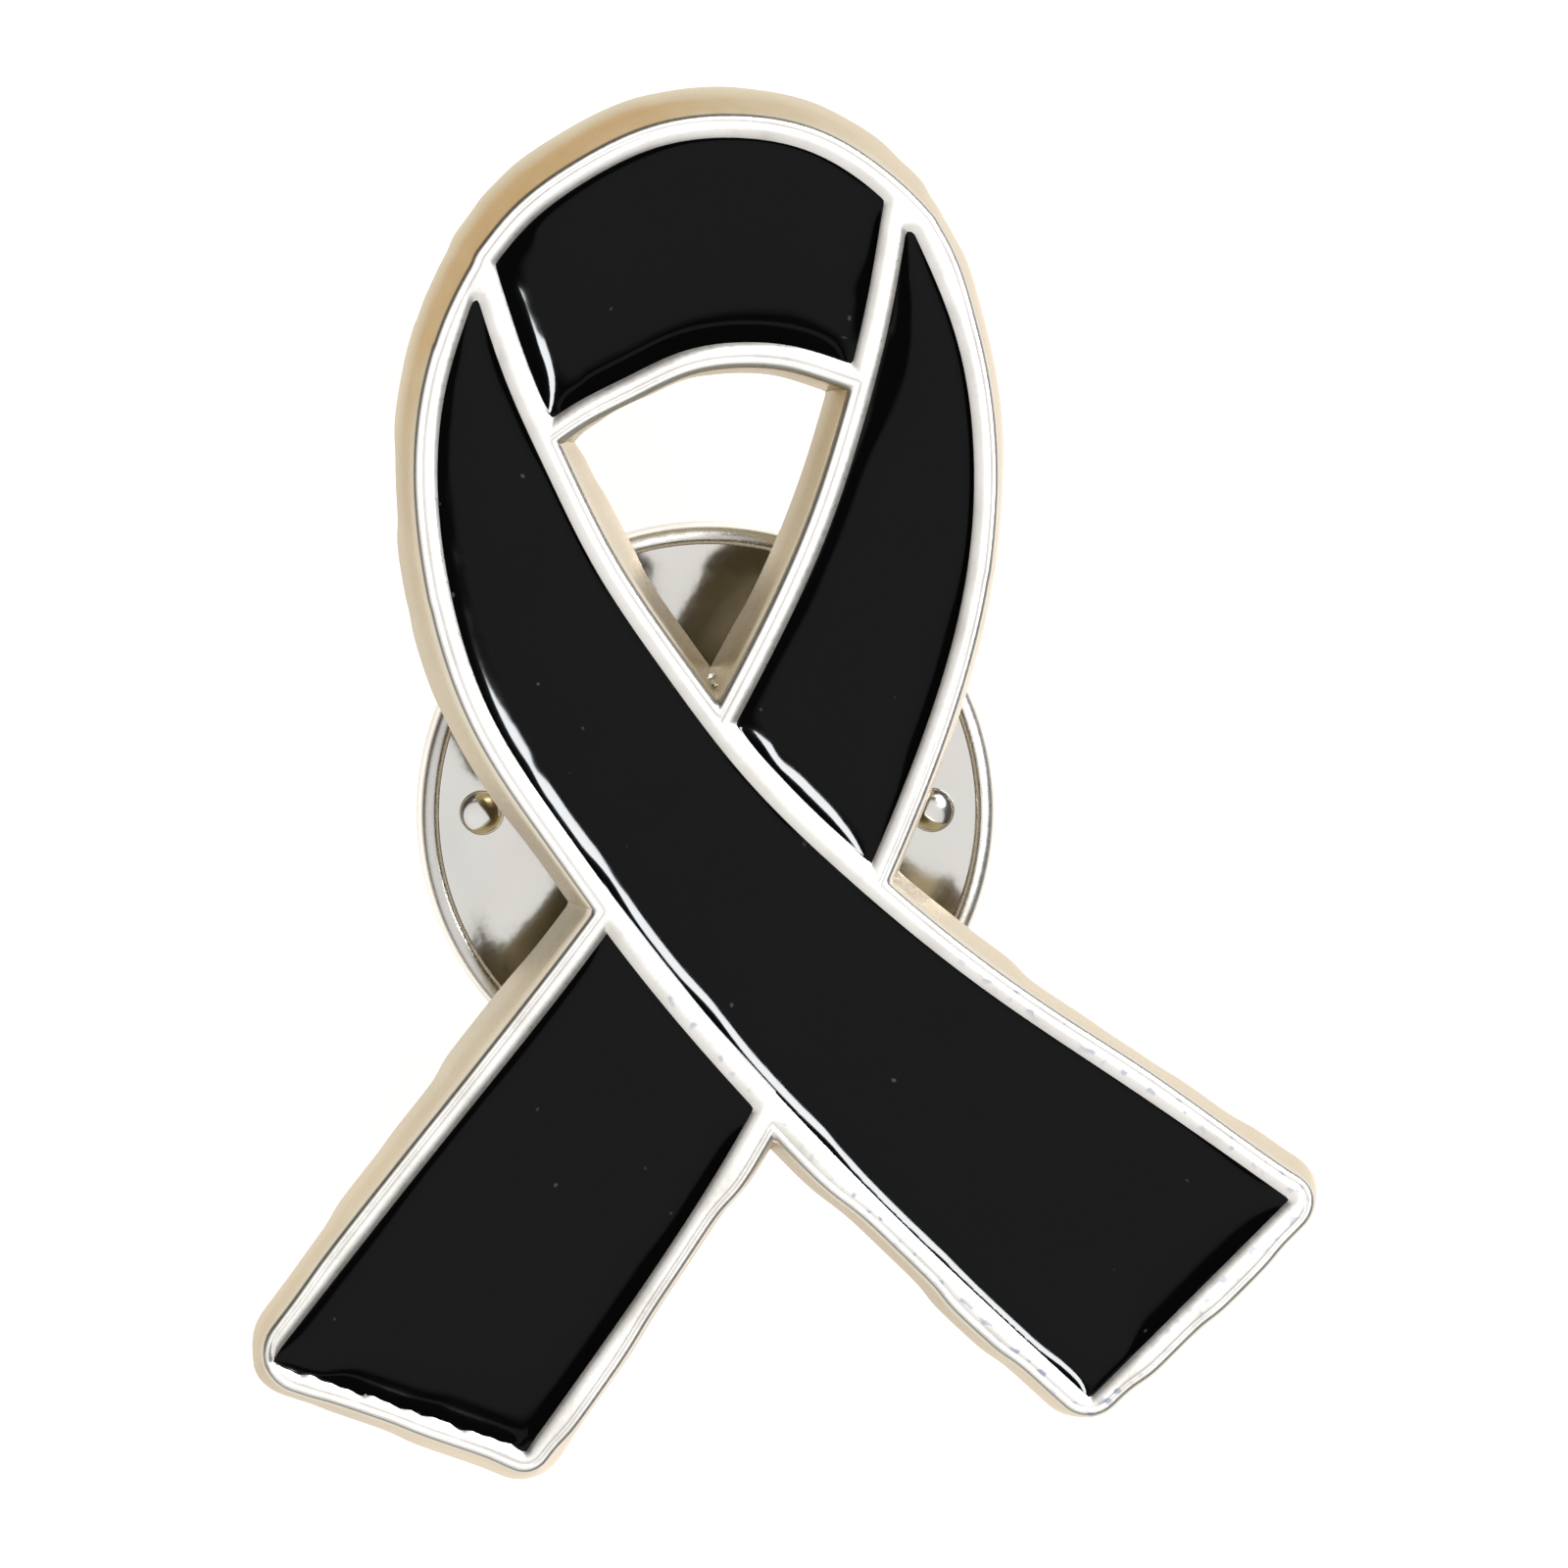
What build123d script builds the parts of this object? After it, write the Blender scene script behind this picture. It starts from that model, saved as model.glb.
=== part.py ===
from build123d import *
from collections import namedtuple
from math import asin, degrees
import os

# An awareness ribbon lapel pin: a looped metal ribbon with four hollows of enamel between
# raised rims, a pointed post soldered to its back, and a squeeze clutch on the post.
# Millimetres. The origin is the post's axis in the plane of the ribbon's back. The ribbon's
# face looks along +Z, the loop points along +Y, and the post and the clutch go down along -Z.

# Ribbon
field_width = 20.3  # the box that holds all the enamel, across
field_height = 26.05  # and up
post_across = 0.446  # the post's place in that box, as shares
post_up = 0.468
ribbon_thickness = 1.8
rim_width = 0.5  # rim around the outside and around the eye, seen from the front
rib_width = 0.52  # rib where one strand passes over another
wall_run = 0.22  # the outer wall leans out by this much down to the back
rim_bevel = 0.12
enamel_depth = 0.45
enamel_drop = 0.2  # the enamel lies this much below the crest of the rims
enamel_gap = 0.02

# Post
post_length = 8.0
post_radius = 0.55
point_length = 1.2
point_radius = 0.08
groove_radius = 0.42  # a groove where the jaws of the clutch sit
groove_length = 0.7
groove_slope = 0.12
solder_radius = 1.1
solder_height = 0.35

# Clutch
cloth_gap = 3.6  # room for cloth between the ribbon's back and the clutch
disc_radius = 5.85
shell_sheet = 0.28
lip_width = 0.43
lip_bevel = 0.16
plate_thickness = 0.35
seam = 0.02  # clearance around the plate under the lip
post_clearance = 0.12  # hole in the plate, around the post
tip_room = 0.62  # between the post's tip and the dome
dome_radius = 2.9
dome_round = 0.8
nub_reach = 4.55  # from the post to each grip nub
nub_radius = 0.45
nub_height = 0.2

# Wings: two squeeze levers that come out through the dome's side windows
wing_sheet = 0.4
wing_play = 0.3  # between a wing and the window's edges
jaw_clearance = 0.05  # between the jaws and the post
jaw_split = 0.3  # between the two jaws
neck_width = 3.4
flare_width = 6.0
flare_corner = 0.7
elbow_reach = 3.6  # from the post to the bend outside the dome
elbow_radius = 0.8
tip_reach = 4.7
tip_beyond = 0.5  # the wing tips reach this far past the dome
flare_start = 0.25  # where the flare begins and ends, as shares of the way down to the tip
flare_end = 0.55

# How an outline is moved outwards
edge_steps = 20
smooth_join = 0.01  # directions closer than this meet with no corner

# Depths in the clutch, counted back from the front of its rolled lip
plate_front = shell_sheet + seam
plate_back = plate_front + plate_thickness
flange_front = plate_back + seam
flange_back = flange_front + shell_sheet
jaw_depth = flange_back + wing_play + wing_sheet / 2
window_back = jaw_depth + wing_sheet / 2 + wing_play
dome_depth = post_length - cloth_gap + tip_room + shell_sheet
tip_depth = dome_depth + tip_beyond

# Strands of the ribbon. Each row is one section across a strand's enamel: where its left and
# its right edge lie, as shares of the field's width and height from its lower left corner.
Section = namedtuple("Section", "left_across left_up right_across right_up")

# From the fold at the upper left, down to the lower right tail. It passes over the other one.
over_sections = [
    Section(0.201, 0.878, 0.206, 0.878),
    Section(0.174, 0.810, 0.235, 0.812),
    Section(0.166, 0.739, 0.270, 0.751),
    Section(0.179, 0.654, 0.319, 0.674),
    Section(0.218, 0.562, 0.386, 0.595),
    Section(0.285, 0.479, 0.463, 0.516),
    Section(0.388, 0.370, 0.562, 0.439),
    Section(0.503, 0.266, 0.694, 0.354),
    Section(0.656, 0.144, 0.847, 0.272),
    Section(0.804, 0.036, 1.000, 0.188),
]

# From the fold at the upper right, behind the first strand, down to the lower left tail.
under_sections = [
    Section(0.621, 0.929, 0.635, 0.926),
    Section(0.607, 0.862, 0.672, 0.847),
    Section(0.583, 0.788, 0.689, 0.758),
    Section(0.549, 0.706, 0.683, 0.672),
    Section(0.498, 0.617, 0.658, 0.588),
    Section(0.458, 0.557, 0.622, 0.509),
    Section(0.398, 0.473, 0.533, 0.352),
    Section(0.328, 0.393, 0.472, 0.258),
    Section(0.168, 0.235, 0.372, 0.133),
    Section(0.000, 0.069, 0.251, 0.000),
]

# The top of the loop, from left to right: left is its outer edge and right is its inner edge.
top_sections = [
    Section(0.202, 0.890, 0.257, 0.776),
    Section(0.254, 0.934, 0.302, 0.800),
    Section(0.312, 0.968, 0.350, 0.819),
    Section(0.380, 0.993, 0.404, 0.838),
    Section(0.460, 1.000, 0.465, 0.845),
    Section(0.527, 0.990, 0.517, 0.841),
    Section(0.579, 0.967, 0.562, 0.830),
    Section(0.632, 0.929, 0.596, 0.821),
]

# How round the metal is behind the enamel's sharp corners at a tail's end, left and right.
over_tail_corners = (0.25, 0.15)
under_tail_corners = (0.43, 0.1)


def at(across, up):
    """A place in the enamel field, from its shares, measured from the post."""
    return (field_width * (across - post_across), field_height * (up - post_up))


def strand_outline(sections, tail_corners=()):
    """Two smooth edges through a strand's sections, closed straight at both ends."""
    left = [at(section.left_across, section.left_up) for section in sections]
    right = [at(section.right_across, section.right_up) for section in sections]
    with BuildSketch() as strand:
        with BuildLine():
            Spline(*left)
            Line(left[-1], right[-1])
            Spline(*reversed(right))
            Line(right[0], left[0])
        make_face()
        for corner, radius in zip((left[-1], right[-1]), tail_corners):
            fillet(strand.vertices().sort_by_distance(corner)[0], radius)
    return strand.sketch


def outward(edge, place):
    """The direction out of an outline, at a place along one of its edges."""
    return (edge % place).cross(Vector(0, 0, 1))


def grown(outline, reach):
    """An outline moved outwards: each edge as one smooth curve, and an arc about each corner."""
    if reach == 0:
        return outline
    edges = outline.face().outer_wire().order_edges()
    with BuildSketch() as wide:
        with BuildLine():
            for edge, following in zip(edges, edges[1:] + edges[:1]):
                places = [number / edge_steps for number in range(edge_steps + 1)]
                moved = [edge @ place + outward(edge, place) * reach for place in places]
                if edge.geom_type == GeomType.LINE:
                    Line(moved[0], moved[-1])
                elif edge.geom_type == GeomType.CIRCLE:
                    ThreePointArc(moved[0], moved[edge_steps // 2], moved[-1])
                else:
                    Spline(*moved)
                before = outward(edge, 1)
                after = outward(following, 0)
                if (after - before).length > smooth_join:
                    ahead = (before + after).normalized()
                    ThreePointArc(moved[-1], edge @ 1 + ahead * reach, edge @ 1 + after * reach)
        make_face()
    return wide.sketch


over_strand = strand_outline(over_sections)
under_strand = strand_outline(under_sections)
top_strand = strand_outline(top_sections)


def enamel_fields(gap):
    """The enamel's four outlines by name, each moved outwards by a gap.

    The rib along the over strand parts the under strand in two, and the ribs at the folds
    close the top's field.
    """
    over_rib = grown(over_strand, rib_width - gap)
    under_rib = grown(under_strand, rib_width - gap)
    with BuildSketch() as under_fields:
        add(grown(under_strand, gap))
        add(over_rib, mode=Mode.SUBTRACT)
    with BuildSketch() as top_field:
        add(grown(top_strand, gap))
        add(over_rib, mode=Mode.SUBTRACT)
        add(under_rib, mode=Mode.SUBTRACT)
    tail_field, right_field = under_fields.faces().sort_by(Axis.Y)
    return {
        "enamel_top": top_field.face(),
        "enamel_right": right_field,
        "enamel_over": grown(over_strand, gap),
        "enamel_tail": tail_field,
    }


# Metal ribbon: each strand is a plate with a leaning wall and a bevelled rim
strands = [
    strand_outline(over_sections, over_tail_corners),
    strand_outline(under_sections, under_tail_corners),
    top_strand,
]
wall_levels = [
    (0, rim_width + wall_run),
    (ribbon_thickness - rim_bevel, rim_width),
    (ribbon_thickness, rim_width - rim_bevel),
]
hollow_floor = ribbon_thickness - enamel_drop - enamel_depth - enamel_gap
groove_middle = -cloth_gap - jaw_depth

with BuildPart() as ribbon_frame:
    for strand in strands:
        for height, reach in wall_levels:
            with BuildSketch(Plane.XY.offset(height)):
                add(grown(strand, reach))
        loft(ruled=True)
    with BuildSketch(Plane.XY.offset(hollow_floor)):
        for field in enamel_fields(enamel_gap).values():
            add(field)
    extrude(amount=ribbon_thickness - hollow_floor, mode=Mode.SUBTRACT)
    with BuildSketch(Plane.XZ):
        with BuildLine():
            Polyline(
                (0, hollow_floor / 2),
                (solder_radius, hollow_floor / 2),
                (solder_radius, 0),
                (post_radius, -solder_height),
                (post_radius, groove_middle + groove_length / 2),
                (groove_radius, groove_middle + groove_length / 2 - groove_slope),
                (groove_radius, groove_middle - groove_length / 2 + groove_slope),
                (post_radius, groove_middle - groove_length / 2),
                (post_radius, point_length - post_length),
                (point_radius, -post_length),
                (0, -post_length),
                close=True,
            )
        make_face()
    revolve(axis=Axis.Z)
ribbon_frame.part.label = "ribbon_frame"

os.makedirs("parts", exist_ok=True)
export_step(ribbon_frame.part, "parts/ribbon_frame.step")

# Enamel: one fill in each hollow
for name, field in enamel_fields(0).items():
    with BuildPart() as enamel:
        with BuildSketch(Plane.XY.offset(hollow_floor + enamel_gap)):
            add(field)
        extrude(amount=enamel_depth)
    enamel.part.label = name
    export_step(enamel.part, f"parts/{name}.step")

# The clutch is drawn from the front of its lip: on the side plane the first number runs away
# from the post towards a wing, on the end plane it runs across the wings, and on both the
# second number is minus the depth.
side_plane = Plane(origin=(0, 0, -cloth_gap), x_dir=(1, 0, 0), z_dir=(0, -1, 0))
end_plane = Plane(origin=(0, 0, -cloth_gap), x_dir=(0, 1, 0), z_dir=(1, 0, 0))
window_width = neck_width + 2 * wing_play

# Clutch shell: a flange whose edge is rolled over the plate, and a dome with two windows
with BuildPart() as clutch_shell:
    with BuildSketch(side_plane) as shell_profile:
        with BuildLine():
            Polyline(
                (disc_radius - lip_width, -shell_sheet),
                (disc_radius - shell_sheet, -shell_sheet),
                (disc_radius - shell_sheet, -flange_front),
                (dome_radius - shell_sheet, -flange_front),
                (dome_radius - shell_sheet, shell_sheet - dome_depth),
                (0, shell_sheet - dome_depth),
                (0, -dome_depth),
                (dome_radius, -dome_depth),
                (dome_radius, -flange_back),
                (disc_radius, -flange_back),
                (disc_radius, 0),
                (disc_radius - lip_width, 0),
                close=True,
            )
        make_face()
        lip_outer_front = shell_profile.vertices().sort_by_distance((disc_radius, 0))[0]
        lip_outer_back = shell_profile.vertices().sort_by_distance((disc_radius, -flange_back))[0]
        lip_inner = shell_profile.vertices().sort_by_distance((disc_radius - lip_width, 0))[0]
        chamfer([lip_outer_front, lip_outer_back], lip_bevel)
        chamfer(lip_inner, lip_bevel / 2)
        dome_corner = shell_profile.vertices().sort_by_distance((dome_radius, -dome_depth))[0]
        fillet(dome_corner, dome_round)
        inner_reach = dome_radius - shell_sheet
        inner_corner = shell_profile.vertices().sort_by_distance((inner_reach, shell_sheet - dome_depth))[0]
        chamfer(inner_corner, dome_round - shell_sheet)
    revolve(axis=Axis.Z)
    with BuildSketch(end_plane):
        with Locations((0, -(flange_back + window_back) / 2)):
            Rectangle(window_width, window_back - flange_back)
    extrude(amount=dome_radius, both=True, mode=Mode.SUBTRACT)
clutch_shell.part.label = "clutch_shell"
export_step(clutch_shell.part, "parts/clutch_shell.step")

# Clutch plate: a disc held under the lip, with the post's hole and two grip nubs
nub_sphere = (nub_radius ** 2 + nub_height ** 2) / (2 * nub_height)
nub_start = degrees(asin(1 - nub_height / nub_sphere))

with BuildPart() as clutch_plate:
    with BuildSketch(Plane.XY.offset(-cloth_gap - plate_back)):
        Circle(disc_radius - shell_sheet - seam)
        Circle(post_radius + post_clearance, mode=Mode.SUBTRACT)
    extrude(amount=plate_thickness)
    with Locations(Plane.XY.offset(-cloth_gap - plate_front)):
        with Locations((-nub_reach, 0), (nub_reach, 0)):
            Sphere(nub_sphere, arc_size1=nub_start, align=(Align.CENTER, Align.CENTER, Align.MIN))
clutch_plate.part.label = "clutch_plate"
export_step(clutch_plate.part, "parts/clutch_plate.step")

# Wings: bent sheet from a jaw at the post, out through a window and down past the dome
with BuildPart() as wing_right:
    with BuildSketch(side_plane):
        with BuildLine():
            FilletPolyline(
                (jaw_split / 2, -jaw_depth),
                (elbow_reach, -jaw_depth),
                (tip_reach, -tip_depth),
                radius=elbow_radius,
            )
        trace(line_width=wing_sheet)
    extrude(amount=flare_width / 2, both=True)
    arm_depth = tip_depth - jaw_depth
    with BuildSketch(end_plane) as wing_outline:
        with BuildLine():
            Polyline(
                (-neck_width / 2, 0),
                (-neck_width / 2, -jaw_depth - flare_start * arm_depth),
                (-flare_width / 2, -jaw_depth - flare_end * arm_depth),
                (-flare_width / 2, -tip_depth),
                (flare_width / 2, -tip_depth),
                (flare_width / 2, -jaw_depth - flare_end * arm_depth),
                (neck_width / 2, -jaw_depth - flare_start * arm_depth),
                (neck_width / 2, 0),
                close=True,
            )
        make_face()
        fillet(wing_outline.vertices().group_by(Axis.Y)[0], flare_corner)
    extrude(amount=tip_reach + wing_sheet, mode=Mode.INTERSECT)
    with BuildSketch(Plane.XY.offset(-cloth_gap - jaw_depth - wing_sheet / 2)):
        Circle(post_radius + jaw_clearance)
    extrude(amount=wing_sheet, mode=Mode.SUBTRACT)
wing_right.part.label = "wing_right"
export_step(wing_right.part, "parts/wing_right.step")

with BuildPart() as wing_left:
    mirror(wing_right.part, about=Plane.YZ)
wing_left.part.label = "wing_left"
export_step(wing_left.part, "parts/wing_left.step")
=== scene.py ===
import math
from collections import namedtuple
from functools import lru_cache

import bmesh
import bpy
import numpy as np
from bpy.props import FloatProperty, FloatVectorProperty, PointerProperty
from mathutils import Matrix, Vector
from mathutils.geometry import delaunay_2d_cdt


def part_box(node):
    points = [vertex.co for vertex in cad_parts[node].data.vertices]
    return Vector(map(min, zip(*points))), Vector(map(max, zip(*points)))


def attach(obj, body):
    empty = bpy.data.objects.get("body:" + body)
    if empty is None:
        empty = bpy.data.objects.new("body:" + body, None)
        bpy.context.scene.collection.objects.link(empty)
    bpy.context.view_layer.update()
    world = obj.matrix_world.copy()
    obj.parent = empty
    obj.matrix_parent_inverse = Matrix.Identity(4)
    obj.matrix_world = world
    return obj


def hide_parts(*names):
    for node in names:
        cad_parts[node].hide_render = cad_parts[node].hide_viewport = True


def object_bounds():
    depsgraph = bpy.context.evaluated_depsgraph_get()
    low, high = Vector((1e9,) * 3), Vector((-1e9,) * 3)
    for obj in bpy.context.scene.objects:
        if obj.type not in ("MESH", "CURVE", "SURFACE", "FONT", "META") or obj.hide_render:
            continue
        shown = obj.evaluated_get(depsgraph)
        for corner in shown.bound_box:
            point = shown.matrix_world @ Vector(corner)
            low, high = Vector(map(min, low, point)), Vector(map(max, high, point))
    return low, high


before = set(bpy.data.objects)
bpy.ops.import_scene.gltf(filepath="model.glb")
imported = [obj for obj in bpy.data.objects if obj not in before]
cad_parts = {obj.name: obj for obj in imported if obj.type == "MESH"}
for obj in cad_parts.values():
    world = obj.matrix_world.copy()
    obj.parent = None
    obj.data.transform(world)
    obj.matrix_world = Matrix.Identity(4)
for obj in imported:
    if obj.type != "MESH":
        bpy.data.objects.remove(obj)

bl_info = {
    "name": "Awareness ribbon pin",
    "version": (1, 0, 0),
    "blender": (4, 5, 0),
    "location": "3D View > Sidebar > Ribbon pin",
    "description": "Builds an enamel ribbon pin with its squeeze clutch around its solid model",
    "category": "Add Mesh",
}

MM = 0.001
CAD_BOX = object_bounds()

# Sections of the ribbon's strands, as in the solid model: where the left and the right edge of
# the enamel lie, as shares of the enamel field's width and height from its lower left corner.
Section = namedtuple("Section", "left_across left_up right_across right_up")

OVER_SECTIONS = [Section(*row) for row in (
    (0.201, 0.878, 0.206, 0.878), (0.174, 0.810, 0.235, 0.812), (0.166, 0.739, 0.270, 0.751),
    (0.179, 0.654, 0.319, 0.674), (0.218, 0.562, 0.386, 0.595), (0.285, 0.479, 0.463, 0.516),
    (0.388, 0.370, 0.562, 0.439), (0.503, 0.266, 0.694, 0.354), (0.656, 0.144, 0.847, 0.272),
    (0.804, 0.036, 1.000, 0.188),
)]
UNDER_SECTIONS = [Section(*row) for row in (
    (0.6225, 0.929, 0.630, 0.928), (0.607, 0.862, 0.672, 0.847), (0.583, 0.788, 0.689, 0.758),
    (0.549, 0.706, 0.683, 0.672), (0.498, 0.617, 0.658, 0.588), (0.458, 0.557, 0.622, 0.509),
    (0.398, 0.473, 0.533, 0.352), (0.328, 0.393, 0.472, 0.258), (0.168, 0.235, 0.372, 0.133),
    (0.000, 0.069, 0.251, 0.000),
)]
TOP_SECTIONS = [Section(*row) for row in (
    (0.2225, 0.9050, 0.257, 0.776), (0.254, 0.934, 0.302, 0.800), (0.312, 0.968, 0.350, 0.819),
    (0.380, 0.993, 0.404, 0.838), (0.460, 1.000, 0.465, 0.845), (0.527, 0.990, 0.517, 0.841),
    (0.579, 0.967, 0.562, 0.830), (0.632, 0.929, 0.596, 0.821),
)]

# The loop's outer line runs on smoothly over both folds: that line, and one inside the metal.
LOOP_SECTIONS = [Section(*row) for row in (
    (0.179, 0.654, 0.249, 0.664), (0.166, 0.739, 0.218, 0.745), (0.174, 0.810, 0.205, 0.811),
    (0.195, 0.862, 0.218, 0.850), (0.2215, 0.901, 0.244, 0.870), (0.2535, 0.934, 0.278, 0.880),
    (0.312, 0.968, 0.331, 0.893), (0.380, 0.993, 0.392, 0.915), (0.460, 1.000, 0.462, 0.922),
    (0.527, 0.990, 0.522, 0.915), (0.579, 0.967, 0.570, 0.898), (0.633, 0.927, 0.610, 0.890),
    (0.672, 0.847, 0.640, 0.855), (0.689, 0.758, 0.636, 0.773), (0.683, 0.672, 0.616, 0.689),
)]

# The casting isn't even: the rim's width and the wall's run at places around the outline, in mm.
Width = namedtuple("Width", "x y width")

RIM_WIDTHS = [Width(*row) for row in (
    (-9.0, -11.0, 0.44), (-7.4, -11.9, 0.40), (-5.4, -12.4, 0.44), (-3.6, -12.8, 0.50),
    (-2.5, -11.5, 0.58), (-0.5, -8.5, 0.50), (1.0, -6.2, 0.66), (3.5, -8.7, 0.50),
    (4.8, -10.0, 0.59), (6.2, -11.2, 0.50), (7.7, -11.7, 0.48), (9.1, -10.4, 0.60),
    (10.4, -9.1, 0.68), (11.7, -7.9, 0.62), (11.0, -6.2, 0.50), (5.3, -2.3, 0.50),
    (5.5, 6.0, 0.50), (4.4, 12.2, 0.50), (1.0, 14.4, 0.50), (-5.4, 11.4, 0.50), (-6.0, 9.0, 0.50),
    (-5.0, 1.0, 0.50), (-7.0, -7.0, 0.50),
)]
WALL_RUNS = [Width(*row) for row in (
    (-3.8, 13.2, 0.45), (-2.2, 14.1, 0.45), (-0.5, 14.6, 0.42), (1.3, 14.4, 0.39),
    (2.9, 13.7, 0.37), (3.7, 13.05, 0.30), (4.4, 12.2, 0.18), (5.0, 10.8, 0.23), (5.4, 9.2, 0.23),
    (5.6, 5.6, 0.20), (5.2, 3.8, 0.22), (5.3, -2.3, 0.24), (6.8, -3.3, 0.12), (8.4, -4.4, 0.09),
    (9.8, -5.4, 0.13), (11.2, -6.4, 0.20), (10.4, -9.1, 0.22), (6.2, -11.2, 0.22),
    (1.0, -6.2, 0.22), (-3.6, -12.8, 0.34), (-2.4, -11.5, 0.22), (-1.2, -9.6, 0.22),
    (-5.4, -12.4, 0.36), (-7.4, -11.9, 0.32), (-8.8, -11.3, 0.27), (-9.5, -9.8, 0.11),
    (-8.4, -8.3, 0.11), (-7.2, -6.9, 0.20), (-6.1, -5.5, 0.23), (-5.0, -4.1, 0.34),
    (-3.0, -1.3, 0.28), (-5.0, 1.7, 0.34), (-5.8, 3.4, 0.37), (-6.2, 5.1, 0.33), (-6.4, 6.9, 0.24),
    (-6.3, 8.7, 0.30), (-6.2, 10.0, 0.32), (-5.9, 10.9, 0.34), (-5.5, 11.5, 0.36),
    (-5.1, 12.1, 0.38), (-4.5, 12.7, 0.415), (-1.1, 8.8, 0.18), (-1.9, 8.3, 0.14),
    (-2.5, 7.9, 0.20), (-2.7, 7.4, 0.36), (-2.3, 6.3, 0.40), (-1.0, 4.2, 0.30), (0.4, 9.1, 0.22),
    (2.1, 8.7, 0.24), (1.0, 5.4, 0.24),
)]

# How the enamel climbs to the rims at places: over what width, in mm, and how steeply.
Climb = namedtuple("Climb", "x y width slope")

CLIMBS = [Climb(*row) for row in (
    (-4.6, 11.2, 0.28, 0.80), (-4.1, 10.2, 0.31, 0.80), (-3.6, 8.9, 0.33, 0.80),
    (-2.2, 9.6, 0.36, 0.90), (0.4, 9.8, 0.38, 0.90), (2.6, 9.6, 0.36, 0.90),
    (4.0, 12.0, 0.20, 0.90), (0.5, 13.5, 0.12, 0.90), (-3.3, 12.6, 0.16, 0.90),
    (-5.7, 9.5, 0.18, 0.60), (-5.9, 7.4, 0.22, 0.58), (-5.9, 6.2, 0.29, 0.52),
    (-5.7, 4.9, 0.36, 0.46), (-5.2, 3.6, 0.40, 0.42), (-4.5, 2.2, 0.41, 0.40),
    (-3.4, 0.4, 0.37, 0.38), (-1.4, -2.2, 0.30, 0.38), (0.8, -4.8, 0.26, 0.38),
    (3.4, -7.4, 0.20, 0.38), (5.6, -9.8, 0.16, 0.38), (7.4, -11.2, 0.14, 0.60),
    (9.2, -9.6, 0.36, 0.90), (10.8, -8.4, 0.34, 0.90), (8.0, -4.8, 0.10, 0.90),
    (4.0, -1.8, 0.10, 0.90), (0.7, 0.7, 0.12, 0.90), (-3.4, 6.4, 0.14, 0.90),
    (0.4, 2.6, 0.26, 0.60), (1.6, 1.0, 0.31, 0.52), (2.9, 0.0, 0.30, 0.52), (4.0, 2.6, 0.24, 0.90),
    (5.0, 6.4, 0.14, 0.90), (4.6, 9.6, 0.14, 0.90), (2.6, 6.0, 0.20, 0.90),
    (-4.0, -2.4, 0.14, 0.90), (-6.0, -5.8, 0.14, 0.90), (-8.2, -9.4, 0.18, 0.90),
    (-8.8, -11.1, 0.10, 0.50), (-7.0, -11.4, 0.28, 0.90), (-5.0, -12.0, 0.34, 0.90),
    (-2.8, -9.6, 0.32, 0.90), (-1.2, -6.4, 0.26, 0.90), (-2.4, -4.4, 0.16, 0.90),
)]

ENAMEL_NODES = ("enamel_top", "enamel_right", "enamel_over", "enamel_tail")

# Where the metal of each strand ends under the loop, and how far edges run on past their heads
OVER_HEAD = 9.3 * MM
UNDER_HEAD = 10.8 * MM
RUN_ON = 2.5 * MM
FOLD_ROUND = 0.05 * MM
# How far around itself each place that has a width of its own is followed most closely
SPOT_REACH = 0.4 * MM

# How finely outlines are followed: a strand's edges, the grid of distances, the mesh lines drawn
# on it, and the steps, counted by CORNER_REACH, over which a line has to turn to have a corner
EDGE_STEP = 0.2 * MM
GRID_STEP = 0.07 * MM
GRID_MARGIN = 1.2 * MM
RING_STEP = 0.09 * MM
FINE_STEP = 0.02 * MM
CORNER_REACH = 5
CORNER_TURN = math.radians(32)
SHORTEST_LOOP = 1.0 * MM
LEAST_AREA = 1e-6 * MM ** 2
MERGE = 0.0005 * MM
SHARP = math.radians(38)
TINY = 1e-12
CHUNK = 4000

# Levels of the mesh lines: outside the enamel's edge, inside the rims' outline, down the walls
# as shares of them, and inside the enamel
INNER_LEVELS = [level * MM for level in (0.04, 0.09, 0.14, 0.18)]
OUTER_LEVELS = [-level * MM for level in (
    0.27, 0.24, 0.22, 0.2, 0.18, 0.16, 0.13, 0.1, 0.07, 0.045, 0.025, 0.01,
)]
WALL_LEVELS = (0.2, 0.4, 0.7)
WALL_FOOT = 0.9
POOL_LEVELS = [-level * MM for level in (
    0.03, 0.07, 0.12, 0.18, 0.25, 0.34, 0.45, 0.6, 0.8, 1.1, 1.5,
)]

# The ragged end of the under strand's enamel: its reach, its depth, and its waves' steps and starts
RAGGED_REACH = 0.25 * MM
RAGGED_DEPTH = 0.018 * MM
RAGGED_WAVES = [(0.11 * MM, 0.0), (0.067 * MM, 1.3), (0.19 * MM, 2.1)]

# The faint groove along the rims, counted inwards from their outline
SEAM_PLACE = 0.2 * MM
SEAM_WIDTH = 0.045 * MM

# Roundings and steps of the clutch, the play of its wings, and its plate's waves and rings
LIP_ROUNDS = (0.13 * MM, 0.27 * MM)
WINDOW_PLAY = 0.3 * MM
WINDOW_STEP = math.radians(1.8)
HOLE_FALL = (0.25 * MM, 0.08 * MM)
HOLE_ROUND = 0.3 * MM
PLATE_WAVE = 0.8 * MM
PLATE_FADE = 0.6 * MM
PLATE_RINGS = 24
FIRST_RING = 1.2 * MM

# The wings: how finely they are divided across and along, and where along the tip they flare
WING_GRID = (41, 61)
WING_EDGE = 0.07 * MM
FLARE_START = 0.2
FLARE_RUN = 0.32

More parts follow.
